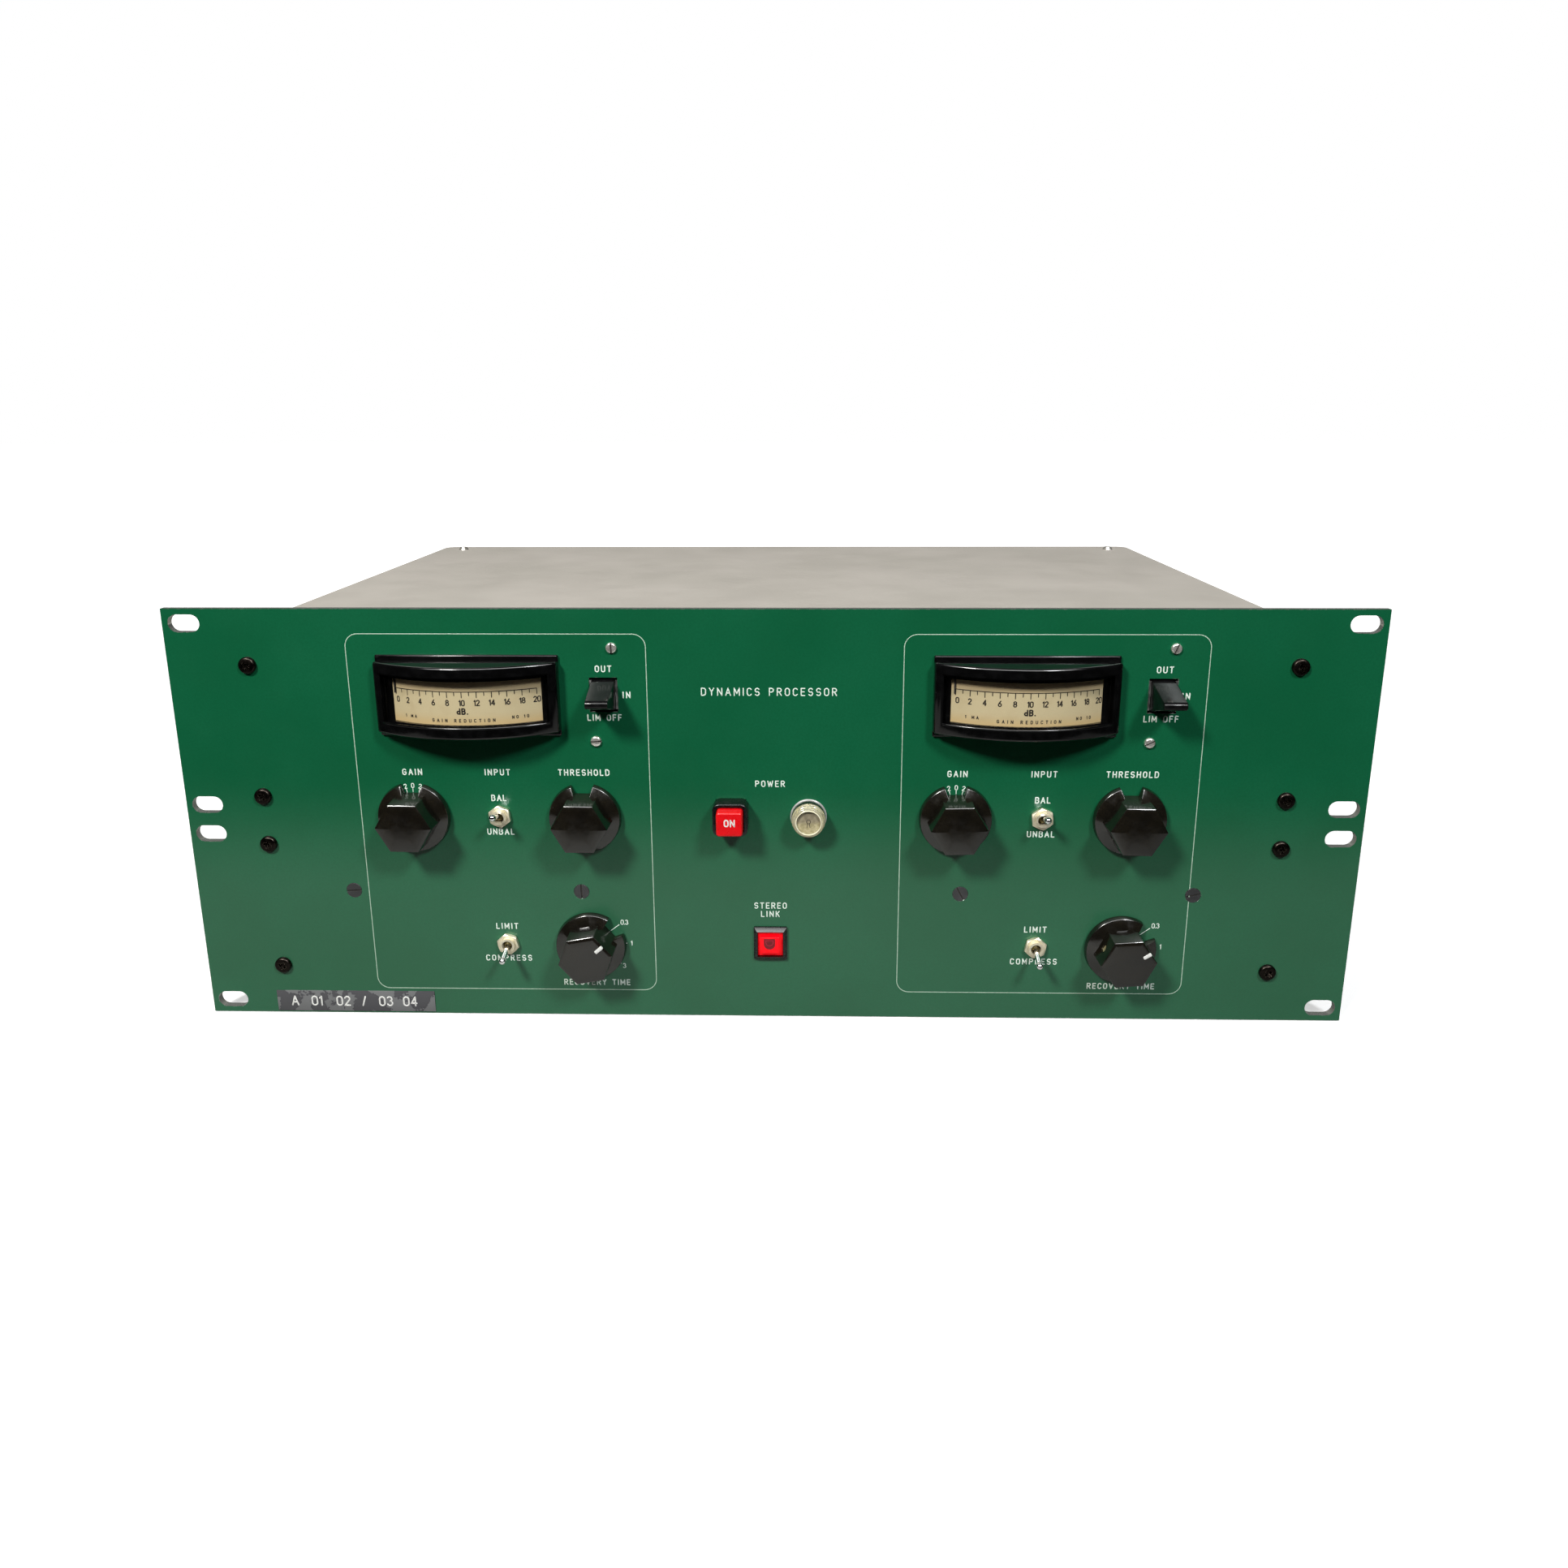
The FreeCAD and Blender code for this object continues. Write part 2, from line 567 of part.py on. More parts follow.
def make_controls():
    pots = []
    switches = []
    nuts = []
    for kind, channel, x, y, turn in control_places():
        make_knob(f"{kind}_knob_{channel}", x, y, turn)
        make_shaft(f"{kind}_shaft_{channel}", x, y, turn)
        nuts.append(cut(hexagon("nut_circle", 0, "nut_top", x, y, 10),
                        rod("bush_r + running_gap", -1, "nut_top + 1", x, y)))
        seat = "-panel_thick"
        if kind == "recovery":
            detent = rod("wafer_r", -12, seat, x, y)
            wafer = rod("wafer_r - 1", -24, -22, x, y)
            posts = [rod(1.5, -24, -12, f"{x} + {9*side}", y) for side in (-1, 1)]
            switches.append(cut(fuse(detent, wafer, bushing(x, y), *posts), shaft_hole(x, y)))
        else:
            can = rod("pot_r", "-pot_deep", seat, x, y)
            tabs = [centred(f"{x} + {5*i}", f"{y} - 15", 2.5, 9, -9, -8) for i in (-1, 0, 1)]
            pots.append(cut(fuse(can, bushing(x, y), *tabs), shaft_hole(x, y)))
    node("potentiometers", on_panel(group(pots)))
    node("recovery_switches", on_panel(group(switches)))
    node("control_nuts", on_panel(group(nuts)))


# ---------------------------------------------------------------- toggle switches
def toggle_places():
    """Label, channel, x, y, rest side (1 is up), the lever's tilt and the turn of the nut."""
    mode_tilts = ("slack_tilt", "toggle_tilt")
    nut_turns = ((97, 103), (96, 78))
    for (channel, centre), tilt, turns in zip(CHANNELS, mode_tilts, nut_turns):
        yield "input", channel, centre, "toggle_y", 1, "toggle_tilt", turns[0]
        yield "mode", channel, centre, "mode_y", -1, tilt, turns[1]


def make_toggles():
    bodies = []
    nuts = []
    for kind, channel, x, y, up, lean, turn in toggle_places():
        seat = "-panel_thick"
        case = centred(x, y, 8, 13, -14, seat)
        neck = rod("toggle_bush_r", seat, "toggle_bush_top", x, y)
        tabs = [centred(x, f"{y} + {4.5*i}", 2, 0.8, -18, -14) for i in (-1, 0, 1)]
        bore = rod("toggle_bore_r", -5, "toggle_bush_top + 1", x, y)
        bodies.append(cut(fuse(case, neck, *tabs), bore))
        nuts.append(cut(hexagon("toggle_nut_circle", 0, "toggle_nut_top", x, y, turn),
                        rod("toggle_bush_r + running_gap", -1, "toggle_nut_top + 1", x, y)))
        lever = turned([("0", "-4.2"), ("0.7", "-4.2"), ("0.7", "-1.7"), ("1.35", "-1.35"),
                        ("1.77", "-0.7"), ("toggle_ball_r", "0"), ("1.77", "0.7"), ("1.3", "1.4"),
                        ("0.9", "1.9"), ("0.95", "3.5"), ("bat_r - 0.1", "toggle_tip - 2.6"),
                        ("bat_r", "toggle_tip - 1.4"), ("bat_r - 0.2", "toggle_tip - 0.6"),
                        ("bat_r - 0.7", "toggle_tip - 0.1"), ("0", "toggle_tip")])
        tilt = FreeCAD.Rotation(FreeCAD.Vector(1, 0, 0), 90 - up*value(lean))
        place(lever, x, f"{FACE_Y} - toggle_pivot", y, tilt)
        node(f"{kind}_toggle_{channel}", lever)
    node("toggle_switches", on_panel(group(bodies)))
    node("toggle_nuts", on_panel(group(nuts)))


# ---------------------------------------------------------------- lever key switches
def make_key_lever(label, x):
    """A wedge whose two faces are tangent to the barrel at its axle and to the rounded lip."""
    lip = "(front_reach - key_lip_r)"
    reach = f"({lip} - key_pivot)"
    lean = f"((key_barrel_r - key_lip_r) / {reach})"
    across = f"sqrt(1 - {lean}^2)"
    half = "key_wide/2"
    body = new_body()
    outline = new_sketch(body, "YZ_Plane")
    polygon(outline, [(f"-key_barrel_r*{across}", f"key_pivot + key_barrel_r*{lean}"),
                      (f"key_barrel_r*{across}", f"key_pivot + key_barrel_r*{lean}"),
                      (f"key_lip_r*{across}", f"{lip} + key_lip_r*{lean}"),
                      (f"-key_lip_r*{across}", f"{lip} + key_lip_r*{lean}")])
    pad(body, outline, "key_wide", symmetric=True)
    solid = fuse(body, rod_x("key_barrel_r", f"-{half}", half, 0, "key_pivot"),
                 rod_x("key_lip_r", f"-{half}", half, 0, lip))
    bore = rod_x("key_axle_r + running_gap", -10, 10, 0, "key_pivot")
    node(label, on_panel(cut(solid, bore), x, "key_y"))


def key_frame(x):
    """The switch behind the panel: its plate, cheeks, axle and contact stack."""
    y = "key_y"
    seat = "-panel_thick"
    plate = centred(x, y, "key_plate_wide", "key_plate_high", f"{seat} - 1.5", seat)
    opening = centred(x, y, "key_hole_wide - 0.2", "key_hole_high", f"{seat} - 2", 0)
    screw_holes = [rod("small_shank_r + running_gap", f"{seat} - 3", 0, f"{x} + {end}*key_screw_dx",
                       f"{y} + {end}*key_screw_dy") for end in (-1, 1)]
    cheeks = [centred(f"{x} + {side}*(key_hole_wide/2 - 0.5)", y, 0.8, 12, -20, -0.4) for side in (-1, 1)]
    walls = [centred(f"{x} + {side}*(key_hole_wide/2 + 0.4)", y, 1.0, 16, -20, f"{seat} - 1.5")
             for side in (-1, 1)]
    stack = centred(x, y, "key_hole_wide + 1.8", 20, -38, -20)
    axle = rod_x("key_axle_r", f"{x} - key_hole_wide/2 + 0.2", f"{x} + key_hole_wide/2 - 0.2", y, "key_pivot")
    return fuse(cut(plate, opening, *screw_holes), *cheeks, *walls, stack, axle)


def make_keys():
    frames = []
    for channel, centre in CHANNELS:
        make_key_lever(f"key_lever_{channel}", f"{centre} + key_dx")
        frames.append(key_frame(f"{centre} + key_dx"))
    node("key_switch_frames", on_panel(group(frames)))


# ---------------------------------------------------------------- edgewise meters
METER_AXIS = "(meter_front - meter_round)"


def make_meter_case(label, x):
    bezel = bowed(centred(0, 0, "meter_wide", "meter_high", 0, "meter_front + 1"), "meter_round")
    rim = centred(0, 0, "meter_wide", "meter_flange_high", 0, "meter_flange_thick")
    tail = centred(0, 0, "meter_body_wide", "meter_body_high", "-meter_deep", 0.5)
    cavity = centred(0, 0, "meter_body_wide - 3", "meter_body_high - 3", "1.5 - meter_deep", 2)
    chamber = bowed(centred(0, 0, "window_wide - 0.1", "meter_body_high - 1", 1, "meter_front"),
                    "meter_round - meter_wall")
    window = centred(0, 0, "window_wide", "window_high", 1.1, "meter_front + 2")
    case = cut(fuse(bezel, rim, tail), cavity, chamber, window)
    node(label, on_panel(case, x, "meter_y"))


def bowed_sheet(wide, low, high, outer, thick):
    """An upright sheet bent to the meter's arc, between two heights."""
    sheet = bowed(block(f"-({wide})/2", f"({wide})/2", low, high, 0, "meter_front"), outer)
    core = rod_y(f"({outer}) - ({thick})", -40, 40, 0, METER_AXIS)
    return cut(sheet, core)


def make_meter_inside():
    windows = []
    scales = []
    movements = []
    for channel, centre in CHANNELS:
        x = f"{centre} + meter_dx"
        make_meter_case(f"meter_case_{channel}", x)
        glass = bowed_sheet("window_wide - 0.2", "0.1 - window_high/2", "window_high/2 - 0.1",
                            "meter_round - 3.3", 0.8)
        plate = bowed_sheet("2*scale_half", -10.2, "scale_top", "scale_r", "scale_thick")
        coil = cut(rod_y(14.5, -9, 8.4, 0, METER_AXIS), rod_y(0.85, -3, 9, 0, METER_AXIS))
        feet = [rod_y(2, -10.9, -9, f"{8*side}", METER_AXIS) for side in (-1, 1)]
        for piece in (glass, plate):
            place(piece, x, "meter_y", 0)
        windows.append(glass)
        scales.append(plate)
        movements.append(place(fuse(coil, *feet), x, "meter_y", 0))
        make_needle(f"meter_needle_{channel}", x)
    node("meter_windows", on_panel(group(windows)))
    node("meter_scales", on_panel(group(scales)))
    node("meter_movements", on_panel(group(movements)))


def make_needle(label, x):
    """A pointer on an upright spindle; its tip is bent down in front of the scale."""
    tip_r = "(scale_r + 0.65)"
    spindle = rod_y(0.8, -2.5, 9, 0, 0)
    hub = rod_y(2.2, 8.8, 10.8, 0, 0)
    arm = block(-0.4, 0.4, "scale_top + 0.3", "scale_top + 0.8", 0, tip_r)
    tail = block(-1.5, 1.5, 9.4, 10.8, -7, 0)
    tip = block(-0.3, 0.3, "needle_foot", "scale_top + 0.8", f"{tip_r} - 0.4", tip_r)
    swing = FreeCAD.Rotation(FreeCAD.Vector(0, 1, 0), -value("needle_swing")/2)
    thing = fuse(spindle, hub, arm, tail, tip)
    place(thing, x, f"{FACE_Y} - {METER_AXIS}", "meter_y", PANEL_VIEW.multiply(swing))
    node(label, thing)


# ---------------------------------------------------------------- buttons and lamp
def make_power_button():
    well_floor = -3
    bezel = rounded("power_wide", "power_high", 3.0, 0, "power_rise")
    tail = centred(0, 0, "2*body_half", "2*body_half", -28, 0.5)
    well = rounded(11.5, 11.4, 1.9, well_floor, "power_rise + 1")
    node("power_button_body", on_panel(cut(fuse(bezel, tail), well), "power_x", "power_y"))
    cap = rounded(10.85, 10.5, 1.4, 0.4, "power_cap_rise")
    node("power_button_cap", on_panel(cap, "power_x", "power_y"))


def make_link_button():
    body = new_body()
    foot = new_sketch(body)
    rectangle(foot, "link_wide/2", "link_high/2")
    pad(body, foot, "1.0")
    bevel = new_sketch(body, level="1.0")
    rectangle(bevel, "link_wide/2", "link_high/2")
    pad(body, bevel, "link_rise - 1.0", draft="-41")
    tail = new_sketch(body, level="0.2")
    rectangle(tail, "body_half", "body_half")
    pad(body, tail, "22.2", reverse=True)
    well = new_sketch(body, level="link_rise + 0.5")
    rectangle(well, "5.4", "5.6")
    pocket(body, well, "link_rise + 3.0")
    node("link_button_body", on_panel(body, 0, "link_y"))
    cap = fuse(centred(0, 0, 10.4, 10.8, -0.5, 1.3), centred(-0.3, 0.3, 8.1, 7.4, 1.3, "link_cap_rise"))
    node("link_button_cap", on_panel(cap, 0, "link_y"))


def make_lamp():
    ring = turned([("4.6", "-24"), ("lamp_body_r", "-24"), ("lamp_body_r", "0"), ("lamp_ring_r", "0"),
                   ("lamp_ring_r", "0.7"), ("lamp_ring_r - 0.3", "1.0"), ("lamp_collar_r", "1.0"),
                   ("lamp_collar_r", "lamp_collar_top"), ("4.6", "lamp_collar_top")])
    node("lamp_bezel", on_panel(ring, "lamp_x", "lamp_y"))
    lens = turned([("3.6", "-4"), ("4.5", "-4"), ("4.5", "lamp_collar_top"),
                   ("lamp_lens_r", "lamp_collar_top"), ("lamp_lens_r - 0.25", "lamp_rise - 1.2"),
                   ("lamp_lens_r - 0.5", "lamp_rise - 0.3"), ("lamp_lens_r - 0.9", "lamp_rise"),
                   ("4.95", "lamp_rise"), ("4.6", "lamp_rise - 0.5"), ("3.0", "lamp_rise - 0.9"),
                   ("0", "lamp_rise - 1.1"), ("0", "5.4"), ("2.2", "5.0"), ("3.6", "3.4")])
    node("lamp_lens", on_panel(lens, "lamp_x", "lamp_y"))
    bulb = turned([("0", "-20"), ("4.4", "-20"), ("4.4", "-9"), ("2.5", "-9"), ("2.5", "2.4"),
                   ("1.8", "3.6"), ("0", "4.2")])
    node("lamp_bulb", on_panel(bulb, "lamp_x", "lamp_y"))


# ---------------------------------------------------------------- boards and supplies inside
def make_boards():
    level = "board_level"
    supports = []
    boards = []
    cans = []
    capacitors = []
    for side in (-1, 1):
        x = f"{side}*bracket_x"
        shelf = fuse(block(f"{x} - 56", f"{x} + 56", "panel_thick", "shelf_back", f"{level} - 1.5", level),
                     block(f"{x} - 56", f"{x} + 56", "panel_thick", "panel_thick + 1.5",
                           f"{level} - 1.5", "bracket_screw_y + 6"))
        holes = [rod_y("small_shank_r + running_gap", 0, 10, f"{x} + {end}*bracket_screw_dx",
                       "bracket_screw_y") for end in (-1, 1)]
        supports.append(cut(shelf, *holes))
        supports += [rod(3, "sheet_thick", level, f"{x} + {52*end}", "board_back - 8") for end in (-1, 1)]
        boards.append(block(f"{x} - board_half", f"{x} + board_half", "board_front", "board_back",
                            level, f"{level} + board_thick"))
        top = f"({level} + board_thick)"
        cans += [centred(f"{x} + {36*end}", 182, 32, 32, top, f"{top} + 38") for end in (-1, 1)]
        capacitors += [rod(6, top, f"{top} + 22", f"{x} + {20*i}", 112) for i in range(-2, 3)]
        capacitors += [rod(4, top, f"{top} + 12", f"{x} + {15*i}", 84) for i in range(-3, 4)]
    supports += [rod(3, "sheet_thick", "power_board_level", 38*i, y) for i in (-1, 1) for y in (76, 168)]
    supply_top = "(power_board_level + board_thick)"
    capacitors += [rod(14, supply_top, f"{supply_top} + 55", 20*i, 104) for i in (-1, 1)]
    boards.append(block(-45, 45, 70, 175, "power_board_level", supply_top))
    node("board_supports", in_chassis(group(supports)))
    node("circuit_boards", in_chassis(group(boards)))
    node("audio_transformers", in_chassis(group(cans)))
    node("capacitors", in_chassis(group(capacitors)))


def make_mains_transformer():
    core = block(-38, 38, 206, 246, "sheet_thick", "sheet_thick + 64")
    feet = block(-48, 48, 216, 236, "sheet_thick", "sheet_thick + 2")
    passage = block(-20.3, 20.3, 190, 262, 15.7, 52.3)
    winding = fuse(block(-20, 20, 194, 258, 16, 52), block(-24, 24, 194, 205.5, 12, 56),
                   block(-24, 24, 246.5, 258, 12, 56))
    node("transformer_core", in_chassis(cut(fuse(core, feet), passage)))
    node("transformer_winding", in_chassis(winding))


# ---------------------------------------------------------------- connectors on the rear panel
def xlr_shell(x):
    flange = block(f"{x} - 13", f"{x} + 13", "chassis_depth", "chassis_depth + 2", "xlr_y - 15.5",
                   "xlr_y + 15.5")
    holes = [rod_y("small_shank_r + panel_gap/2", "chassis_depth - 1", "chassis_depth + 3",
                   f"{x} + {dx}", f"xlr_y + {dz}") for dx, dz in XLR_SCREWS]
    barrel = rod_y(11.8, "chassis_depth - 18", "chassis_depth + 3", x, "xlr_y")
    return fuse(cut(flange, *holes), barrel)


def pin_places(x):
    """The three contacts stand on a circle of 5.4 mm radius, one of them at the bottom."""
    return [(f"{x} + 5.4*cos({turn})", f"xlr_y + 5.4*sin({turn})") for turn in (30, 150, 270)]


def make_connectors():
    inputs = []
    outputs = []
    front = "chassis_depth + 3.5"
    for kind, x in XLR_PLACES:
        if kind == "output":
            cavity = rod_y(9.4, "chassis_depth - 13", front, x, "xlr_y")
            outputs.append(cut(xlr_shell(x), cavity))
            outputs += [rod_y(1.2, "chassis_depth - 13", "chassis_depth - 1", px, pz)
                        for px, pz in pin_places(x)]
        else:
            groove = cut(rod_y(9.6, "chassis_depth - 10", front, x, "xlr_y"),
                         rod_y(8.0, "chassis_depth - 11", "chassis_depth + 4", x, "xlr_y"))
            holes = [rod_y(1.4, "chassis_depth - 12", front, px, pz) for px, pz in pin_places(x)]
            inputs.append(cut(xlr_shell(x), groove, *holes))
    node("input_connectors", in_chassis(group(inputs)))
    node("output_connectors", in_chassis(group(outputs)))


def make_mains_parts():
    flange = block("inlet_x - 25", "inlet_x + 25", "chassis_depth", "chassis_depth + 3", "inlet_y - 11.5",
                   "inlet_y + 11.5")
    shell = block("inlet_x - 14", "inlet_x + 14", "chassis_depth - 20", "chassis_depth", "inlet_y - 10",
                  "inlet_y + 10")
    cavity = block("inlet_x - 12.1", "inlet_x + 12.1", "chassis_depth - 14", "chassis_depth + 4",
                   "inlet_y - 7.9", "inlet_y + 7.9")
    holes = [rod_y("small_shank_r + panel_gap/2", "chassis_depth - 1", "chassis_depth + 4",
                   f"inlet_x + {side}*{INLET_SCREW_DX}", "inlet_y") for side in (-1, 1)]
    blades = [block(f"inlet_x + {dx} - 1", f"inlet_x + {dx} + 1", "chassis_depth - 14",
                    "chassis_depth - 1", f"inlet_y + {dz} - 2", f"inlet_y + {dz} + 2")
              for dx, dz in ((-7, -2), (7, -2), (0, 2))]
    node("mains_inlet", in_chassis(group([cut(fuse(flange, shell), cavity, *holes), *blades])))
    seat = "chassis_depth"
    holder = fuse(rod_y(6, f"{seat} - 26", seat, "inlet_x", "fuse_y"),
                  rod_y(8.5, seat, f"{seat} + 2", "inlet_x", "fuse_y"))
    cap = cut(rod_y(6.5, f"{seat} + 2", f"{seat} + 10", "inlet_x", "fuse_y"),
              block("inlet_x - 4", "inlet_x + 4", f"{seat} + 9", f"{seat} + 11", "fuse_y - 0.6",
                    "fuse_y + 0.6"))
    node("fuse_holder", in_chassis(group([holder, cap])))
    stud = rod_y(2, f"{seat} - 8", f"{seat} + rear_stand", "earth_x", "inlet_y")
    washer = rod_y(4.5, seat, f"{seat} + 1", "earth_x", "inlet_y")
    thumb = rod_y(5.5, f"{seat} + 4", f"{seat} + 9", "earth_x", "inlet_y")
    collar = rod_y(3.5, f"{seat} + 1", f"{seat} + 4", "earth_x", "inlet_y")
    node("earth_terminal", in_chassis(fuse(stud, washer, thumb, collar)))


# ---------------------------------------------------------------- build, check and export
make_front_panel()
make_side_plate("side_plate_left", -1)
make_side_plate("side_plate_right", 1)
make_covers()
make_rear_panel()
make_panel_screws()
make_bracket_screws()
make_key_screws()
make_case_screws()
make_rear_screws()
make_controls()
make_toggles()
make_keys()
make_meter_inside()
make_power_button()
make_link_button()
make_lamp()
make_boards()
make_mains_transformer()
make_connectors()
make_mains_parts()
doc.recompute()

faults = [thing.Name for thing in doc.Objects if {"Invalid", "Error"} & set(thing.State)]
faults += [label for label, thing in NODES.items() if thing.Shape.isNull() or not thing.Shape.isValid()]
if faults:
    raise SystemExit("failed: " + ", ".join(faults))

os.makedirs("parts", exist_ok=True)
for label, thing in NODES.items():
    thing.Shape.exportStep(f"parts/{label}.step")
    box = thing.Shape.BoundBox
    print(f"{label:22s} {len(thing.Shape.Solids):3d} solids {thing.Shape.Volume/1000:9.3f} cm3  "
          f"x {box.XMin:7.1f} {box.XMax:7.1f}  y {box.YMin:7.1f} {box.YMax:7.1f}  "
          f"z {box.ZMin:6.1f} {box.ZMax:6.1f}")
print(len(NODES), "nodes")
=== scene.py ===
import json
import math
import random

import bmesh
import bpy
from mathutils import Matrix, Vector


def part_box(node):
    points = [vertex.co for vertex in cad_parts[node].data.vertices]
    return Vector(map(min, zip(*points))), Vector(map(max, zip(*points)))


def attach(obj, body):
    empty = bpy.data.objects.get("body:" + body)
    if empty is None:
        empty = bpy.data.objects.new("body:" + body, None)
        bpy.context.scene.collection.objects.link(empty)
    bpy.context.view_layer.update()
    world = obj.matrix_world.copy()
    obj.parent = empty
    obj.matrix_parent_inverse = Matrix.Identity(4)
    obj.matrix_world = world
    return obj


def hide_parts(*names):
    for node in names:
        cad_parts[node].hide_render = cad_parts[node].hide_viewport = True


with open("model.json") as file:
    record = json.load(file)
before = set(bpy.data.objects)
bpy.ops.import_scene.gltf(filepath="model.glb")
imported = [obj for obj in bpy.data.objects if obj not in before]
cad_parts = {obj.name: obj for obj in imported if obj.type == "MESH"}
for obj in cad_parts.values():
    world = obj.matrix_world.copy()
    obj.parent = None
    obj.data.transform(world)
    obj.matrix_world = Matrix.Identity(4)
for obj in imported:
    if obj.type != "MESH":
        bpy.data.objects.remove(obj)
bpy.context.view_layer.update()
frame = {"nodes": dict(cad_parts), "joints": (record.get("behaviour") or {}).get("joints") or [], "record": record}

# Looks for the stereo rack compressor. Pieces are drawn in millimetres in the panel frame (x right,
# y up, h out of the panel's face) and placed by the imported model's joints and boxes, in metres.

MM = 0.001
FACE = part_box("front_panel")[0].y
JOINTS = {joint["name"]: joint for joint in frame["joints"]}
CHANNELS = ("a", "b")
DRAWS = random.Random(19)


# ================================================================ where things are
def joint_place(name):
    """x and z of a joint in millimetres."""
    x, _, z = JOINTS[name]["pos_m"]
    return x / MM, z / MM


def node_centre(node):
    low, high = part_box(node)
    return (low.x + high.x) / 2 / MM, (low.z + high.z) / 2 / MM


def channel_x(channel):
    return joint_place("input_flip_" + channel)[0]


def on_panel(x, z, turn=0.0, depth=0.0):
    """The matrix of a piece drawn in the panel frame; depth is how far it lies behind the face."""
    tilt = Matrix.Rotation(math.radians(90), 4, "X")
    spin = Matrix.Rotation(math.radians(turn), 4, "Z")
    return Matrix.Translation((x * MM, FACE + depth * MM, z * MM)) @ tilt @ spin


# ================================================================ mesh building, in millimetres
def as_mesh(name, bm):
    mesh = bpy.data.meshes.new(name)
    bm.to_mesh(mesh)
    bm.free()
    return mesh


def linked(name, data):
    thing = bpy.data.objects.new(name, data)
    bpy.context.scene.collection.objects.link(thing)
    return thing


def ring_faces(bm, rings):
    """Quads between neighbouring rings; a ring of one vertex is a pole."""
    for first, second in zip(rings, rings[1:]):
        count = max(len(first), len(second))
        for i in range(count):
            j = (i + 1) % count
            corners = [first[i % len(first)], first[j % len(first)],
                       second[j % len(second)], second[i % len(second)]]
            corners = list(dict.fromkeys(corners))
            if len(corners) > 2:
                bm.faces.new(corners)


def capped(bm, rings):
    """A stack of outlines, closed at both ends."""
    ring_faces(bm, rings)
    bm.faces.new(rings[0])
    bm.faces.new(rings[-1])
    return bm


def circle(bm, radius, height, steps):
    turns = [2 * math.pi * i / steps for i in range(steps)]
    return [bm.verts.new((radius * math.cos(t), radius * math.sin(t), height)) for t in turns]


def lathe(profile, steps=72):
    """A solid turned about h; the profile's points are radius, height, and it starts and ends at 0."""
    bm = bmesh.new()
    ring_faces(bm, [circle(bm, r, h, steps) if r else [bm.verts.new((0, 0, h))] for r, h in profile])
    return bm


def turned_ring(profile, steps=72):
    """As lathe, for a closed profile that stays clear of the axis."""
    bm = bmesh.new()
    rings = [circle(bm, r, h, steps) for r, h in profile]
    ring_faces(bm, rings + rings[:1])
    return bm


def prism(outline, low, high, shrink=1.0):
    """A solid between two copies of an outline; the upper one may be smaller."""
    bm = bmesh.new()
    bottom = [bm.verts.new((x, y, low)) for x, y in outline]
    top = [bm.verts.new((x * shrink, y * shrink, high)) for x, y in outline]
    return capped(bm, [bottom, top])


def box(wide, high, low, top, x=0.0, y=0.0, shrink=1.0):
    outline = [(x + i * wide / 2, y + j * high / 2) for i, j in ((-1, -1), (1, -1), (1, 1), (-1, 1))]
    return prism(outline, low, top, shrink)


def polar(cx, cy, radius, degrees):
    turn = math.radians(degrees)
    return cx + radius * math.cos(turn), cy + radius * math.sin(turn)


def arc(cx, cy, radius, start, end, step=15.0):
    """Points along an arc, in degrees."""
    count = max(2, round(abs(end - start) / step))
    return [polar(cx, cy, radius, start + (end - start) * i / count) for i in range(count + 1)]


def rounded_outline(wide, high, corner, step=15.0):
    points = []
    for i, j, start in ((1, 1, 0), (-1, 1, 90), (-1, -1, 180), (1, -1, 270)):
        points += arc(i * (wide / 2 - corner), j * (high / 2 - corner), corner, start, start + 90, step)
    return points


def bevel(bm, width, segments=3, least_angle=30.0):
    """Rounds every edge that is sharper than least_angle."""
    bmesh.ops.recalc_face_normals(bm, faces=bm.faces)
    limit = math.radians(least_angle)
    edges = [e for e in bm.edges if len(e.link_faces) == 2 and e.calc_face_angle(0) > limit]
    bmesh.ops.bevel(bm, geom=edges, offset=width, segments=segments, profile=0.5, affect="EDGES",
                    clamp_overlap=True)
    return bm


def moved(bm, matrix):
    bmesh.ops.transform(bm, matrix=matrix, verts=bm.verts)
    return bm


def scratch_object(bm):
    bmesh.ops.recalc_face_normals(bm, faces=bm.faces)
    return linked("scratch", as_mesh("scratch", bm))


def combine(operation, base, *tools):
    """An exact boolean of one solid with others in turn."""
    for tool in tools:
        first, second = scratch_object(base), scratch_object(tool)
        modifier = first.modifiers.new("combine", "BOOLEAN")
        modifier.operation = operation
        modifier.solver = "EXACT"
        modifier.object = second
        base = bmesh.new()
        base.from_object(first, bpy.context.evaluated_depsgraph_get())
        for thing in (first, second):
            mesh = thing.data
            bpy.data.objects.remove(thing)
            bpy.data.meshes.remove(mesh)
    return base


def finished(name, bm, sharp=32.0):
    """A mesh in metres, smooth but for its sharp edges."""
    bmesh.ops.recalc_face_normals(bm, faces=bm.faces)
    mesh = as_mesh(name, bm)
    mesh.transform(Matrix.Scale(MM, 4))
    mesh.shade_smooth()
    mesh.set_sharp_from_angle(angle=math.radians(sharp))
    return mesh


def add(name, shape, matrix, look, body, replaces=()):
    """Put a finished piece in the scene, on its body, with its material slot."""
    mesh = shape if isinstance(shape, bpy.types.Mesh) else finished(name, shape)
    if not mesh.materials:
        mesh.materials.append(LOOKS[look])
    piece = linked(name, mesh)
    piece.matrix_world = matrix
    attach(piece, body)
    if replaces:
        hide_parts(*replaces)
    return piece


# ================================================================ lettering: one engraved stroke per line
CAP = 6.0


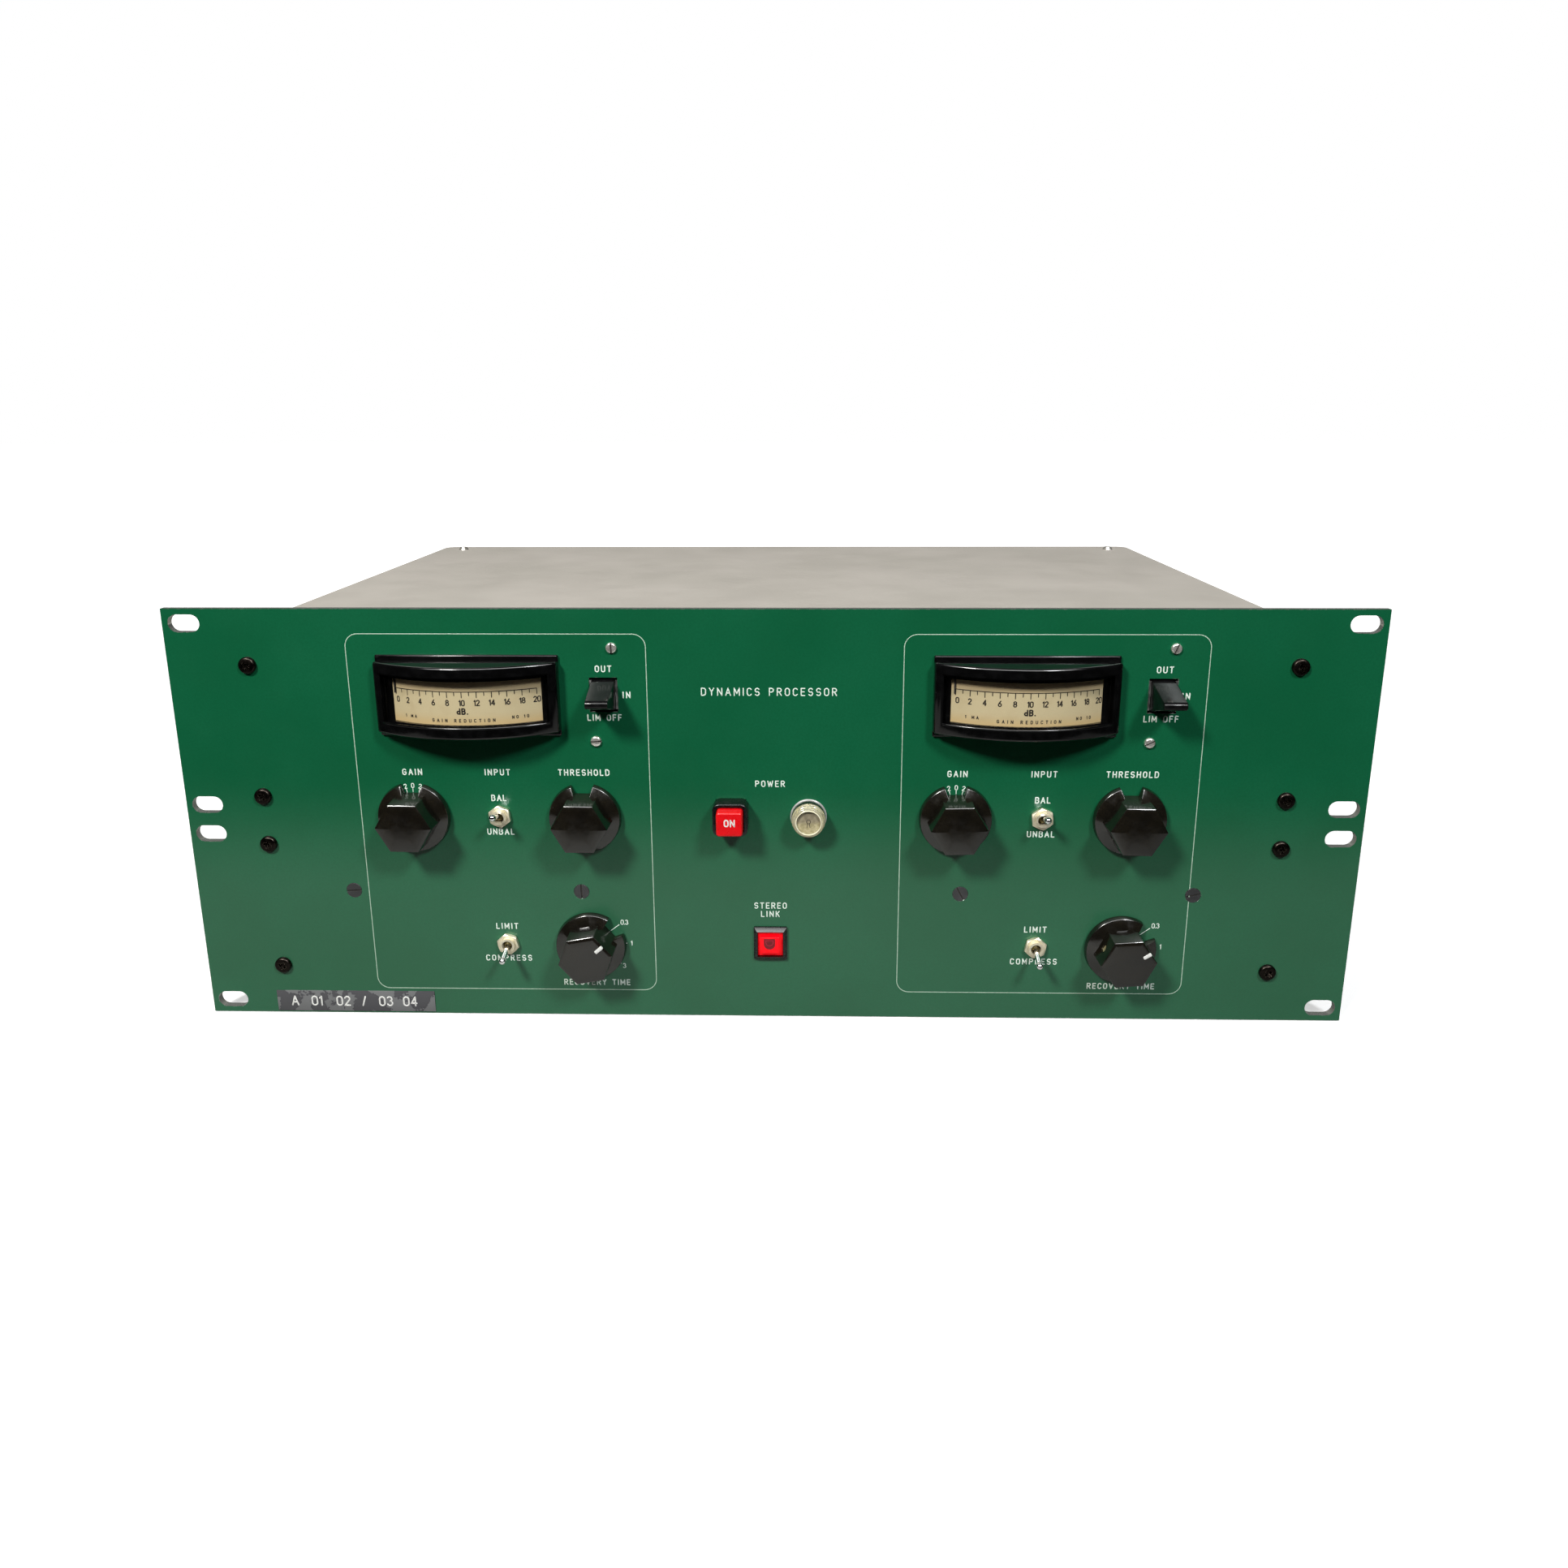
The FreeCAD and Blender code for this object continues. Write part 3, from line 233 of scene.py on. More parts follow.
def bowl(top, bottom, radius, x=None):
    """The right-hand round of D, P, R and B, from its upper to its lower end."""
    x = radius if x is None else x
    return arc(x, top - radius, radius, 90, 0) + arc(x, bottom + radius, radius, 0, -90)


def oval(wide, top=CAP, bottom=0.0):
    r = wide / 2
    return arc(r, top - r, r, 0, 180) + arc(r, bottom + r, r, 180, 360) + [(wide, top - r)]


S_CURVE = arc(1.65, 4.4, 1.6, 30, 250) + arc(1.65, 1.6, 1.6, 70, -150)
C_CURVE = arc(1.7, 4.3, 1.7, 25, 180) + arc(1.7, 1.7, 1.7, 180, 335)
GLYPHS = {
    "A": (3.8, [[(0, 0), (1.9, 6), (3.8, 0)], [(0.7, 2), (3.1, 2)]]),
    "B": (3.3, [[(0, 0), (0, 6)] + bowl(6, 3.2, 1.4, 1.7) + [(0, 3.2)],
                [(0, 3.2)] + bowl(3.2, 0, 1.6, 1.7) + [(0, 0)]]),
    "C": (3.3, [C_CURVE]),
    "D": (3.4, [[(0, 0), (0, 6)] + bowl(6, 0, 1.9, 1.5) + [(0, 0)]]),
    "E": (2.9, [[(2.9, 6), (0, 6), (0, 0), (2.9, 0)], [(0, 3.1), (2.5, 3.1)]]),
    "F": (2.8, [[(2.8, 6), (0, 6), (0, 0)], [(0, 3.1), (2.4, 3.1)]]),
    "G": (3.4, [arc(1.7, 4.3, 1.7, 25, 180) + arc(1.7, 1.7, 1.7, 180, 360) + [(3.4, 2.8), (2.0, 2.8)]]),
    "H": (3.4, [[(0, 0), (0, 6)], [(3.4, 0), (3.4, 6)], [(0, 3.1), (3.4, 3.1)]]),
    "I": (0.1, [[(0.05, 0), (0.05, 6)]]),
    "K": (3.2, [[(0, 0), (0, 6)], [(3.1, 6), (0, 2.3)], [(1.1, 3.6), (3.2, 0)]]),
    "L": (2.7, [[(0, 6), (0, 0), (2.7, 0)]]),
    "M": (4.2, [[(0, 0), (0, 6), (2.1, 1.6), (4.2, 6), (4.2, 0)]]),
    "N": (3.5, [[(0, 0), (0, 6), (3.5, 0), (3.5, 6)]]),
    "O": (3.4, [oval(3.4)]),
    "P": (3.3, [[(0, 0), (0, 6)] + bowl(6, 2.9, 1.55, 1.7) + [(0, 2.9)]]),
    "R": (3.3, [[(0, 0), (0, 6)] + bowl(6, 3.0, 1.5, 1.7) + [(0, 3.0)], [(1.5, 3.0), (3.3, 0)]]),
    "S": (3.3, [S_CURVE]),
    "T": (3.3, [[(0, 6), (3.3, 6)], [(1.65, 6), (1.65, 0)]]),
    "U": (3.4, [[(0, 6)] + arc(1.7, 1.7, 1.7, 180, 360) + [(3.4, 6)]]),
    "V": (3.7, [[(0, 6), (1.85, 0), (3.7, 6)]]),
    "W": (5.0, [[(0, 6), (1.2, 0), (2.5, 5), (3.8, 0), (5, 6)]]),
    "Y": (3.5, [[(0, 6), (1.75, 3), (3.5, 6)], [(1.75, 3), (1.75, 0)]]),
    "0": (3.2, [oval(3.2)]),
    "1": (1.2, [[(0, 4.9), (1.1, 6), (1.1, 0)]]),
    "2": (3.1, [arc(1.55, 4.45, 1.55, 165, -35) + [(0, 0), (3.1, 0)]]),
    "3": (3.1, [arc(1.45, 4.55, 1.45, 150, -70) + arc(1.5, 1.6, 1.6, 75, -155)]),
    "4": (3.2, [[(2.4, 0), (2.4, 6), (0, 1.7), (3.2, 1.7)]]),
    "6": (3.2, [[(2.5, 6), (0.25, 2.5)] + arc(1.6, 1.6, 1.6, 160, 520)]),
    "8": (3.1, [arc(1.55, 4.6, 1.4, 0, 360), arc(1.55, 1.6, 1.6, 0, 360)]),
    "/": (1.8, [[(0, 0), (1.8, 6)]]),
    ".": (0.3, [[(0.1, 0.1), (0.25, 0.1)]]),
    "d": (3.0, [arc(1.5, 1.7, 1.5, 0, 360), [(3.0, 6), (3.0, 0)]]),
    "n": (2.4, [[(0, 0), (0, 3.6)], arc(1.2, 2.4, 1.2, 180, 0) + [(2.4, 0)]]),
    "o": (2.6, [oval(2.6, 3.6)]),
    " ": (2.0, []),
}


def strokes_of(text, cap, wide=None, gap=1.4, turn=0.0, x=0.0, y=0.0):
    """The text's strokes in millimetres, centred on x, y; wide spreads the letters to that width."""
    unit = cap / CAP
    bare = sum(GLYPHS[letter][0] for letter in text)
    if wide is not None and len(text) > 1:
        gap = (wide / unit - bare) / (len(text) - 1)
    pen = -(bare + gap * (len(text) - 1)) / 2
    spin = Matrix.Rotation(math.radians(turn), 2)
    lines = []
    for letter in text:
        advance, strokes = GLYPHS[letter]
        for stroke in strokes:
            line = [spin @ Vector(((pen + px) * unit, (py - CAP / 2) * unit)) for px, py in stroke]
            lines.append([(point.x + x, point.y + y) for point in line])
        pen += advance + gap
    return lines


def rounded_ends(line, radius):
    """Adds a small round to each end of a stroke: points with the stroke's radius there."""
    if line[0] == line[-1]:
        return [(point, 1.0) for point in line]
    ends = []
    for tip, inner in ((line[0], line[1]), (line[-1], line[-2])):
        away = (Vector(tip) - Vector(inner)).normalized() * radius
        ends.append([((tip[0] + away.x * reach, tip[1] + away.y * reach), share)
                     for reach, share in ((0.95, 0.2), (0.7, 0.72))])
    return ends[0] + [(point, 1.0) for point in line] + ends[1][::-1]


def split_at_corners(line, limit=30.0):
    """The runs of a stroke between its sharp corners, so that each gets its own round ends."""
    runs, run = [], [line[0]]
    for before, here, after in zip(line, line[1:], line[2:]):
        run.append(here)
        first, second = Vector(here) - Vector(before), Vector(after) - Vector(here)
        if first.length and second.length and first.angle(second) > math.radians(limit):
            runs.append(run)
            run = [here]
    run.append(line[-1])
    return runs + [run]


def stroke_mesh(name, lines, width, rise=0.06, bend=None):
    """Strokes as low beads standing rise proud of h = 0; bend maps a point on to another surface."""
    lines = [run for line in lines for run in split_at_corners(line)]
    curve = bpy.data.curves.new(name, "CURVE")
    curve.dimensions = "3D"
    curve.bevel_depth = width / 2
    curve.bevel_resolution = 1
    curve.use_fill_caps = True
    for line in lines:
        points = rounded_ends(line, width / 2)
        spline = curve.splines.new("POLY")
        spline.use_cyclic_u = line[0] == line[-1]
        if spline.use_cyclic_u:
            points = points[:-1]
        spline.points.add(len(points) - 1)
        for slot, ((x, y), share) in zip(spline.points, points):
            slot.co = (x, y, 0, 1)
            slot.radius = share
    thing = linked(name, curve)
    mesh = bpy.data.meshes.new_from_object(thing.evaluated_get(bpy.context.evaluated_depsgraph_get()))
    bpy.data.objects.remove(thing)
    bpy.data.curves.remove(curve)
    bm = bmesh.new()
    bm.from_mesh(mesh)
    bpy.data.meshes.remove(mesh)
    for vertex in bm.verts:
        vertex.co.z *= rise / (width / 2)
        if bend:
            vertex.co = bend(vertex.co)
    return finished(name, bm, 80)


# ================================================================ materials
class Look:
    """A Principled material, built up from noises, blends and bumps."""

    def __init__(self, name, color, roughness, metallic=0.0, **sockets):
        self.name = name
        self.material = bpy.data.materials.new("look_" + name)
        self.material.use_nodes = True
        self.tree = self.material.node_tree
        self.shader = self.tree.nodes["Principled BSDF"]
        self.shader.inputs["Base Color"].default_value = (*color, 1)
        self.shader.inputs["Roughness"].default_value = roughness
        self.shader.inputs["Metallic"].default_value = metallic
        self.shader.inputs["Emission Color"].default_value = (1, 1, 1, 1)
        for socket, number in sockets.items():
            self.shader.inputs[socket.replace("_", " ")].default_value = number
        self.place = self.tree.nodes.new("ShaderNodeTexCoord").outputs["Object"]

    def node(self, kind, **settings):
        made = self.tree.nodes.new("ShaderNode" + kind)
        for name, setting in settings.items():
            setattr(made, name, setting)
        return made

    def feed(self, socket, source):
        if isinstance(source, bpy.types.NodeSocket):
            self.tree.links.new(source, socket)
        elif isinstance(source, tuple) and len(source) == 3 and socket.type == "RGBA":
            socket.default_value = (*source, 1)
        else:
            socket.default_value = source

    def math(self, operation, *sources):
        made = self.node("Math", operation=operation)
        for socket, source in zip(made.inputs, sources):
            self.feed(socket, source)
        return made.outputs[0]

    def stretched(self, stretch):
        made = self.node("VectorMath", operation="MULTIPLY")
        self.feed(made.inputs[0], self.place)
        made.inputs[1].default_value = stretch
        return made.outputs[0]

    def noise(self, size, detail=3.0, stretch=None):
        """Noise whose features are about size millimetres across."""
        made = self.node("TexNoise")
        self.feed(made.inputs["Vector"], self.stretched(stretch) if stretch else self.place)
        made.inputs["Scale"].default_value = 1 / (size * MM)
        made.inputs["Detail"].default_value = detail
        return made.outputs["Fac"]

    def step(self, source, low, high, to_low=0.0, to_high=1.0):
        made = self.node("MapRange", interpolation_type="SMOOTHSTEP")
        for socket, number in zip(made.inputs, (source, low, high, to_low, to_high)):
            self.feed(socket, number)
        return made.outputs[0]

    def patches(self, size, detail, *span):
        """Soft patches of noise; span is what step takes after its source."""
        return self.step(self.noise(size, detail), *span)

    def mix(self, share, first, second):
        made = self.node("Mix", data_type="RGBA")
        self.feed(made.inputs[0], share)
        self.feed(made.inputs[6], first)
        self.feed(made.inputs[7], second)
        return made.outputs[2]

    def color(self, source):
        self.feed(self.shader.inputs["Base Color"], source)
        return self

    def rough(self, source):
        self.feed(self.shader.inputs["Roughness"], source)
        return self

    def metal(self, source):
        self.feed(self.shader.inputs["Metallic"], source)
        return self

    def bump(self, height, distance, strength=1.0):
        """distance is in millimetres."""
        made = self.node("Bump")
        made.inputs["Strength"].default_value = strength
        made.inputs["Distance"].default_value = distance * MM
        self.feed(made.inputs["Height"], height)
        existing = self.shader.inputs["Normal"].links
        if existing:
            self.feed(made.inputs["Normal"], existing[0].from_socket)
        self.feed(self.shader.inputs["Normal"], made.outputs[0])
        return self

    def edges(self, radius=0.35):
        """1 where the surface bends over an edge, from the gap between true and rounded normals."""
        soft = self.node("Bevel", samples=6)
        soft.inputs["Radius"].default_value = radius * MM
        true = self.node("NewGeometry")
        dot = self.node("VectorMath", operation="DOT_PRODUCT")
        self.feed(dot.inputs[0], soft.outputs[0])
        self.feed(dot.inputs[1], true.outputs["Normal"])
        return self.math("SUBTRACT", 1.0, dot.outputs["Value"])

    def axis(self, name):
        made = self.node("SeparateXYZ")
        self.feed(made.inputs[0], self.place)
        return made.outputs[name]


def green_enamel():
    """Satin green enamel over aluminium: fine orange peel, paler towards the bottom, bare cut edges."""
    look = Look("green_enamel", (0.01, 0.13, 0.055), 0.28, Specular_IOR_Level=0.4)
    paint = look.mix(look.patches(45, 3, 0.3, 0.7), (0.0045, 0.107, 0.042), (0.006, 0.121, 0.05))
    paint = look.mix(look.patches(0.9, 2, 0.25, 0.75, 0.0, 0.35), paint, (0.0035, 0.086, 0.034))
    # The enamel turns paler towards the bottom of the panel.
    paler_low = look.math("MULTIPLY", look.step(look.axis("Z"), 0.055, 0.108, 1.0, 0.0), 0.024)
    paint = look.mix(paler_low, paint, (0.9, 0.9, 0.88))
    split = look.node("SeparateXYZ")
    look.feed(split.inputs[0], look.node("NewGeometry").outputs["True Normal"])
    side = look.math("SUBTRACT", 1.0, look.math("ABSOLUTE", split.outputs["Y"]))
    chips = look.math("MULTIPLY", look.step(look.edges(0.5), 0.05, 0.2), look.patches(1.6, 4, 0.52, 0.6))
    bare = look.math("MAXIMUM", look.step(side, 0.4, 0.6), chips)
    metal = look.mix(look.noise(0.6, 4, (1, 1, 0.2)), (0.42, 0.45, 0.42), (0.66, 0.68, 0.64))
    look.color(look.mix(bare, paint, metal))
    look.metal(look.math("MULTIPLY", bare, 0.75))
    look.rough(look.patches(12, 3, 0.2, 0.8, 0.21, 0.26))
    return look.bump(look.noise(1.1, 3), 0.02, 0.35)


def grey_enamel():
    """Satin grey paint on sheet, with faint clouds."""
    look = Look("grey_enamel", (0.45, 0.42, 0.37), 0.5)
    look.color(look.mix(look.patches(60, 3, 0.3, 0.7), (0.44, 0.415, 0.37), (0.48, 0.45, 0.405)))
    look.rough(look.patches(20, 3, 0.2, 0.8, 0.44, 0.56))
    return look.bump(look.noise(0.8, 3), 0.03, 0.4)


def plated_steel(name, light, dark, roughness, size=0.5, metallic=1.0, grain=0.01):
    """Plated or bare steel with faint streaks and dull patches."""
    look = Look(name, light, roughness, metallic)
    look.color(look.mix(look.patches(3, 4, 0.35, 0.7), light, dark))
    look.rough(look.step(look.noise(size * 4, 4), 0.25, 0.75, roughness * 0.75, roughness * 1.35))
    return look.bump(look.noise(size, 2), grain, 0.2)


def bronzed_screw():
    """Dark bronzed steel, worn bright at its edges."""
    look = plated_steel("bronzed_screw", (0.05, 0.04, 0.032), (0.018, 0.014, 0.012), 0.3)
    worn = look.step(look.edges(0.25), 0.04, 0.25)
    worn = look.math("MULTIPLY", worn, look.patches(0.8, 3, 0.35, 0.6))
    return look.color(look.mix(worn, look.mix(look.noise(1.5, 3), (0.03, 0.024, 0.02), (0.012, 0.01, 0.009)),
                               (0.5, 0.42, 0.33)))


def dark_screw():
    look = plated_steel("dark_screw", (0.12, 0.12, 0.125), (0.06, 0.06, 0.065), 0.42)
    return look.color(look.mix(look.step(look.edges(0.2), 0.05, 0.3), (0.1, 0.1, 0.105), (0.3, 0.3, 0.3)))


def phenolic():
    """Black moulded phenolic: glossy, with brown mottling and fine scuffs on the front."""
    look = Look("black_phenolic", (0.006, 0.0055, 0.005), 0.12, Specular_IOR_Level=0.8)
    grain = look.patches(0.22, 2, 0.45, 0.7)
    cloud = look.patches(9, 2, 0.3, 0.65)
    look.color(look.mix(look.math("MULTIPLY", grain, cloud), (0.0055, 0.0047, 0.0034), (0.026, 0.021, 0.012)))
    look.rough(look.patches(3, 5, 0.3, 0.75, 0.12, 0.21))
    return look.bump(look.noise(0.5, 3), 0.006, 0.2)


def black_plastic(name, roughness, wear=0.0, depth=1.0, **sockets):
    look = Look(name, (0.008, 0.008, 0.009), roughness, **sockets)
    shades = [tuple(depth * part * share for part in (0.006, 0.006, 0.0065)) for share in (1, 2)]
    base = look.mix(look.patches(4, 4, 0.35, 0.7), *shades)
    if wear:
        edge = look.math("MULTIPLY", look.step(look.edges(0.3), 0.03, 0.3), wear)
        base = look.mix(edge, base, (0.09, 0.095, 0.1))
    look.color(base)
    look.rough(look.patches(2, 4, 0.3, 0.7, roughness * 0.8, roughness * 1.3))
    return look.bump(look.noise(0.4, 2), 0.008, 0.2)


def scale_card():
    """Cream printed card, browner towards its foot; above its arc line it carries the painted shadow of the
    window's top lip, darkest at its head.
    """
    look = Look("scale_cream", (0.76, 0.66, 0.42), 0.6)
    foot = look.step(look.axis("Z"), 0.131, 0.138, 1.0, 0.0)
    # Painted shadow of the window's top lip: darker from the arc line up to the head.
    head = look.step(look.axis("Z"), 0.1458, 0.1515, 0.0, 1.0)
    lip_shadow_band = look.step(look.axis("Z"), 0.1455, 0.1461, 0.0, 0.35)
    tint = look.mix(foot, (0.68, 0.575, 0.34), (0.68, 0.49, 0.22))
    tint = look.mix(lip_shadow_band, tint, (0.5, 0.33, 0.15))
    tint = look.mix(head, tint, (0.3, 0.2, 0.1))
    stain = look.patches(6, 4, 0.45, 0.8, 0.0, 0.3)
    look.color(look.mix(stain, tint, (0.52, 0.38, 0.19)))
    return look.bump(look.noise(0.3, 2), 0.01, 0.3)


def clear_sheet():
    look = Look("clear_acrylic", (0.02, 0.02, 0.02), 0.06, Alpha=0.05)
    look.rough(look.patches(8, 3, 0.3, 0.7, 0.04, 0.1))
    return look


def red_plastic():
    look = Look("red_cap", (0.8, 0.004, 0.008), 0.3, Specular_IOR_Level=0.35)
    look.color(look.mix(look.patches(3, 3, 0.3, 0.7), (0.84, 0.004, 0.009), (0.74, 0.003, 0.007)))
    look.rough(look.patches(1, 3, 0.3, 0.7, 0.26, 0.36))
    return look.bump(look.noise(0.5, 2), 0.01, 0.2)


def red_glass():
    # The lens glows by its emission, a painted glow: the lamp behind it is dark.
    look = Look("red_lens", (0.9, 0.003, 0.01), 0.14, Transmission_Weight=0.1, IOR=1.3,
                Emission_Strength=0.3)
    look.shader.inputs["Emission Color"].default_value = (1.0, 0.002, 0.012, 1)
    look.color(look.mix(look.patches(2, 3, 0.3, 0.7), (0.92, 0.003, 0.012), (0.8, 0.003, 0.008)))
    return look


def cream_glass():
    look = Look("cream_lens", (0.88, 0.8, 0.55), 0.1, Transmission_Weight=0.6, IOR=1.49)
    look.color(look.mix(look.patches(2.5, 3, 0.3, 0.7), (0.93, 0.89, 0.66), (0.86, 0.8, 0.52)))
    return look.bump(look.noise(0.6, 2), 0.01, 0.3)


def lamp_dish():
    """The frosted dish of the lamp, with painted shade: grey-brown in its upper half, which the rim shades, warmer
    and lighter in its lower half.
    """
    look = Look("lamp_dish", (0.3, 0.25, 0.15), 0.3)
    # Painted shade: the upper half of the dish is darker, as the rim shades it.
    height = look.step(look.axis("Y"), -0.0015, 0.001, 0.0, 1.0)
    lower = look.mix(look.patches(1.3, 2, 0.35, 0.65), (0.56, 0.5, 0.31), (0.38, 0.33, 0.18))
    upper = look.mix(look.patches(1.8, 2, 0.35, 0.65), (0.33, 0.29, 0.2), (0.22, 0.19, 0.13))
    look.color(look.mix(height, lower, upper))
    return look.bump(look.noise(0.7, 2), 0.03, 0.4)


def label_tape():
    """Glossy grey embossing tape whose backing shows through in torn, darker patches."""
    look = Look("label_tape", (0.1, 0.1, 0.11), 0.3)
    patch = look.noise(9, 1, (1, 1, 0.35))
    ragged = look.noise(1.2, 4, (1, 1, 0.3))
    field = look.math("ADD", patch, look.math("MULTIPLY", look.math("SUBTRACT", ragged, 0.5), 0.22))
    look.color(look.mix(look.step(field, 0.5, 0.515), (0.075, 0.075, 0.083), (0.17, 0.175, 0.18)))
    look.rough(look.step(field, 0.49, 0.52, 0.26, 0.42))
    return look.bump(field, 0.03, 0.3)


def printed(name, color, dirt, roughness=0.5):
    """Paint filled lettering, a little uneven."""
    look = Look(name, color, roughness)
    return look.color(look.mix(look.patches(1.2, 4, 0.4, 0.8), color, dirt))


def mottled(name, light, dark, roughness, size=3.0):
    look = Look(name, light, roughness)
    look.color(look.mix(look.step(look.noise(size, 4), 0.3, 0.7), light, dark))
    look.rough(look.step(look.noise(size / 2, 3), 0.3, 0.7, roughness * 0.85, min(1, roughness * 1.25)))
    return look.bump(look.noise(size / 6, 2), 0.01, 0.25)


LOOKS = {look.name: look.material for look in (
    green_enamel(), grey_enamel(), bronzed_screw(), dark_screw(), phenolic(),
    plated_steel("zinc_plate", (0.5, 0.5, 0.48), (0.38, 0.38, 0.37), 0.38),
    plated_steel("nickel_screw", (0.95, 0.93, 0.88), (0.7, 0.67, 0.6), 0.2, metallic=0.75),
    # painted shade: the dark inserts that fill the screw slots
    mottled("slot_shade", (0.012, 0.01, 0.009), (0.03, 0.026, 0.022), 0.6, 1.0),
    plated_steel("nickel_plate", (0.8, 0.74, 0.57), (0.68, 0.62, 0.45), 0.42, 0.8, 0.7, 0.004),
    plated_steel("ball_tarnish", (0.16, 0.13, 0.05), (0.05, 0.035, 0.02), 0.3, 0.8, 0.8, 0.004),
    plated_steel("flange_chrome", (0.9, 0.9, 0.88), (0.78, 0.78, 0.76), 0.22, metallic=0.55),
    plated_steel("dark_chrome", (0.2, 0.19, 0.18), (0.12, 0.11, 0.1), 0.16),
    plated_steel("brass", (0.6, 0.52, 0.3), (0.42, 0.36, 0.2), 0.4, metallic=0.6),
    plated_steel("pot_can", (0.6, 0.6, 0.58), (0.45, 0.45, 0.44), 0.35),
    plated_steel("bright_chrome", (0.86, 0.86, 0.86), (0.75, 0.75, 0.76), 0.07),
    plated_steel("movement_alloy", (0.6, 0.6, 0.6), (0.45, 0.45, 0.45), 0.4),
    plated_steel("shield_can", (0.5, 0.5, 0.52), (0.38, 0.38, 0.4), 0.4),
    plated_steel("lamination_steel", (0.16, 0.16, 0.17), (0.08, 0.08, 0.09), 0.5),
    plated_steel("connector_nickel", (0.62, 0.6, 0.56), (0.48, 0.46, 0.42), 0.3),
    mottled("switch_wafer", (0.3, 0.19, 0.09), (0.22, 0.13, 0.06), 0.6),
    black_plastic("black_plastic", 0.2, 0.4, 0.8), black_plastic("meter_black", 0.12, 0.0, 0.3),
    black_plastic("button_black", 0.26, 0.15, 0.5), black_plastic("black_nylon", 0.42),
    black_plastic("key_black", 0.16, 0.0, 0.6, Specular_IOR_Level=0.2),
    mottled("needle_black", (0.012, 0.011, 0.01), (0.03, 0.028, 0.025), 0.5, 1.0),
    clear_sheet(), scale_card(), red_plastic(), red_glass(), cream_glass(), lamp_dish(), label_tape(),
    mottled("bulb_glass", (0.55, 0.5, 0.4), (0.35, 0.3, 0.24), 0.2, 2.0),
    mottled("board_laminate", (0.22, 0.12, 0.045), (0.16, 0.085, 0.03), 0.4),
    mottled("capacitor_sleeve", (0.03, 0.07, 0.24), (0.02, 0.05, 0.18), 0.35),
    mottled("winding_tape", (0.62, 0.5, 0.18), (0.5, 0.38, 0.12), 0.5),
    printed("legend_white", (0.85, 0.95, 0.87), (0.68, 0.84, 0.73)),
    printed("line_white", (0.5, 0.66, 0.53), (0.34, 0.52, 0.4)),
    printed("bright_white", (0.86, 0.87, 0.84), (0.74, 0.75, 0.72)),
    printed("scale_ink", (0.012, 0.008, 0.006), (0.03, 0.02, 0.012)),
    printed("dim_mark", (0.32, 0.34, 0.35), (0.2, 0.22, 0.23)),
    printed("led_dark", (0.2, 0.002, 0.008), (0.12, 0.002, 0.006), 0.25),
    printed("led_line", (0.6, 0.02, 0.06), (0.4, 0.01, 0.03), 0.25),
    mottled("lamp_lip", (0.95, 0.91, 0.7), (0.85, 0.8, 0.56), 0.18, 2.0),
    mottled("filament", (0.13, 0.11, 0.07), (0.06, 0.05, 0.035), 0.4, 1.0),
)}

for row in frame["record"]["subparts"]:
    thing = frame["nodes"][row["node"]]
    thing.data.materials.clear()
    thing.data.materials.append(LOOKS[row["material_slot"]])


# ================================================================ knobs
KNOB_TOP = 15.3
KNOB_LOW = 0.5
SKIRT_R = 14.9
HEX_BASE = 12.0
HEX_SHRINK = 0.95
GRUB_TURN = 210
GRUB_AXIS = (Matrix.Translation((0, 0, 9)) @ Matrix.Rotation(math.radians(GRUB_TURN), 4, "Z")
             @ Matrix.Rotation(math.radians(90), 4, "Y"))
NOTCH_TURN = 2.5


def soft_hexagon(radius, corner):
    """A hexagon's outline with small rounds at its corners."""
    reach = radius - corner / math.cos(math.radians(30))
    points = []
    for turn in range(0, 360, 60):
        points += arc(*polar(0, 0, reach, turn), corner, turn - 30, turn + 30, 20)
    return points


def hexagonal_grip():
    """The tapering grip; its front face is flat in the middle and falls away at the edges."""
    drops = ((14.7, 1.0), (0.9, HEX_SHRINK), (0.62, HEX_SHRINK - 0.006), (0.42, HEX_SHRINK - 0.028),
             (0.22, HEX_SHRINK - 0.14), (0.08, HEX_SHRINK - 0.32), (0.0, HEX_SHRINK - 0.55))
    outline = soft_hexagon(HEX_BASE, 0.45)
    bm = bmesh.new()
    return capped(bm, [[bm.verts.new((x * share, y * share, KNOB_TOP - drop)) for x, y in outline]
                       for drop, share in drops])


def knob_shape(notch_turn):
    """A hexagonal grip on a notched skirt, hollow beneath, with its grub screw's hole."""
    rim = [(0, KNOB_LOW), (SKIRT_R - 0.2, KNOB_LOW)] + arc(SKIRT_R - 0.2, KNOB_LOW + 0.2, 0.2, -90, 0, 30)
    rim += arc(SKIRT_R - 0.85, 2.6, 0.45, 0, 68, 17) + [(10.4, 4.85), (0, 4.85)]
    skirt = lathe(rim, 144)
    notch = prism([(-3.2, 9.9), (3.2, 9.9), (5.25, SKIRT_R + 1), (-5.25, SKIRT_R + 1)], -1, 6)
    notch = moved(notch, Matrix.Rotation(math.radians(notch_turn), 4, "Z"))
    skirt = bevel(combine("DIFFERENCE", skirt, notch), 0.18, 2, 40)
    knob = combine("UNION", skirt, hexagonal_grip())
    hollow = lathe([(0, -1), (8.6, -1), (8.6, 5), (3.06, 5), (3.06, 12.5), (0, 12.5)])
    drilled = moved(lathe([(0, 2), (1.55, 2), (1.55, 16), (0, 16)], 32), GRUB_AXIS)
    return combine("DIFFERENCE", knob, hollow, drilled)


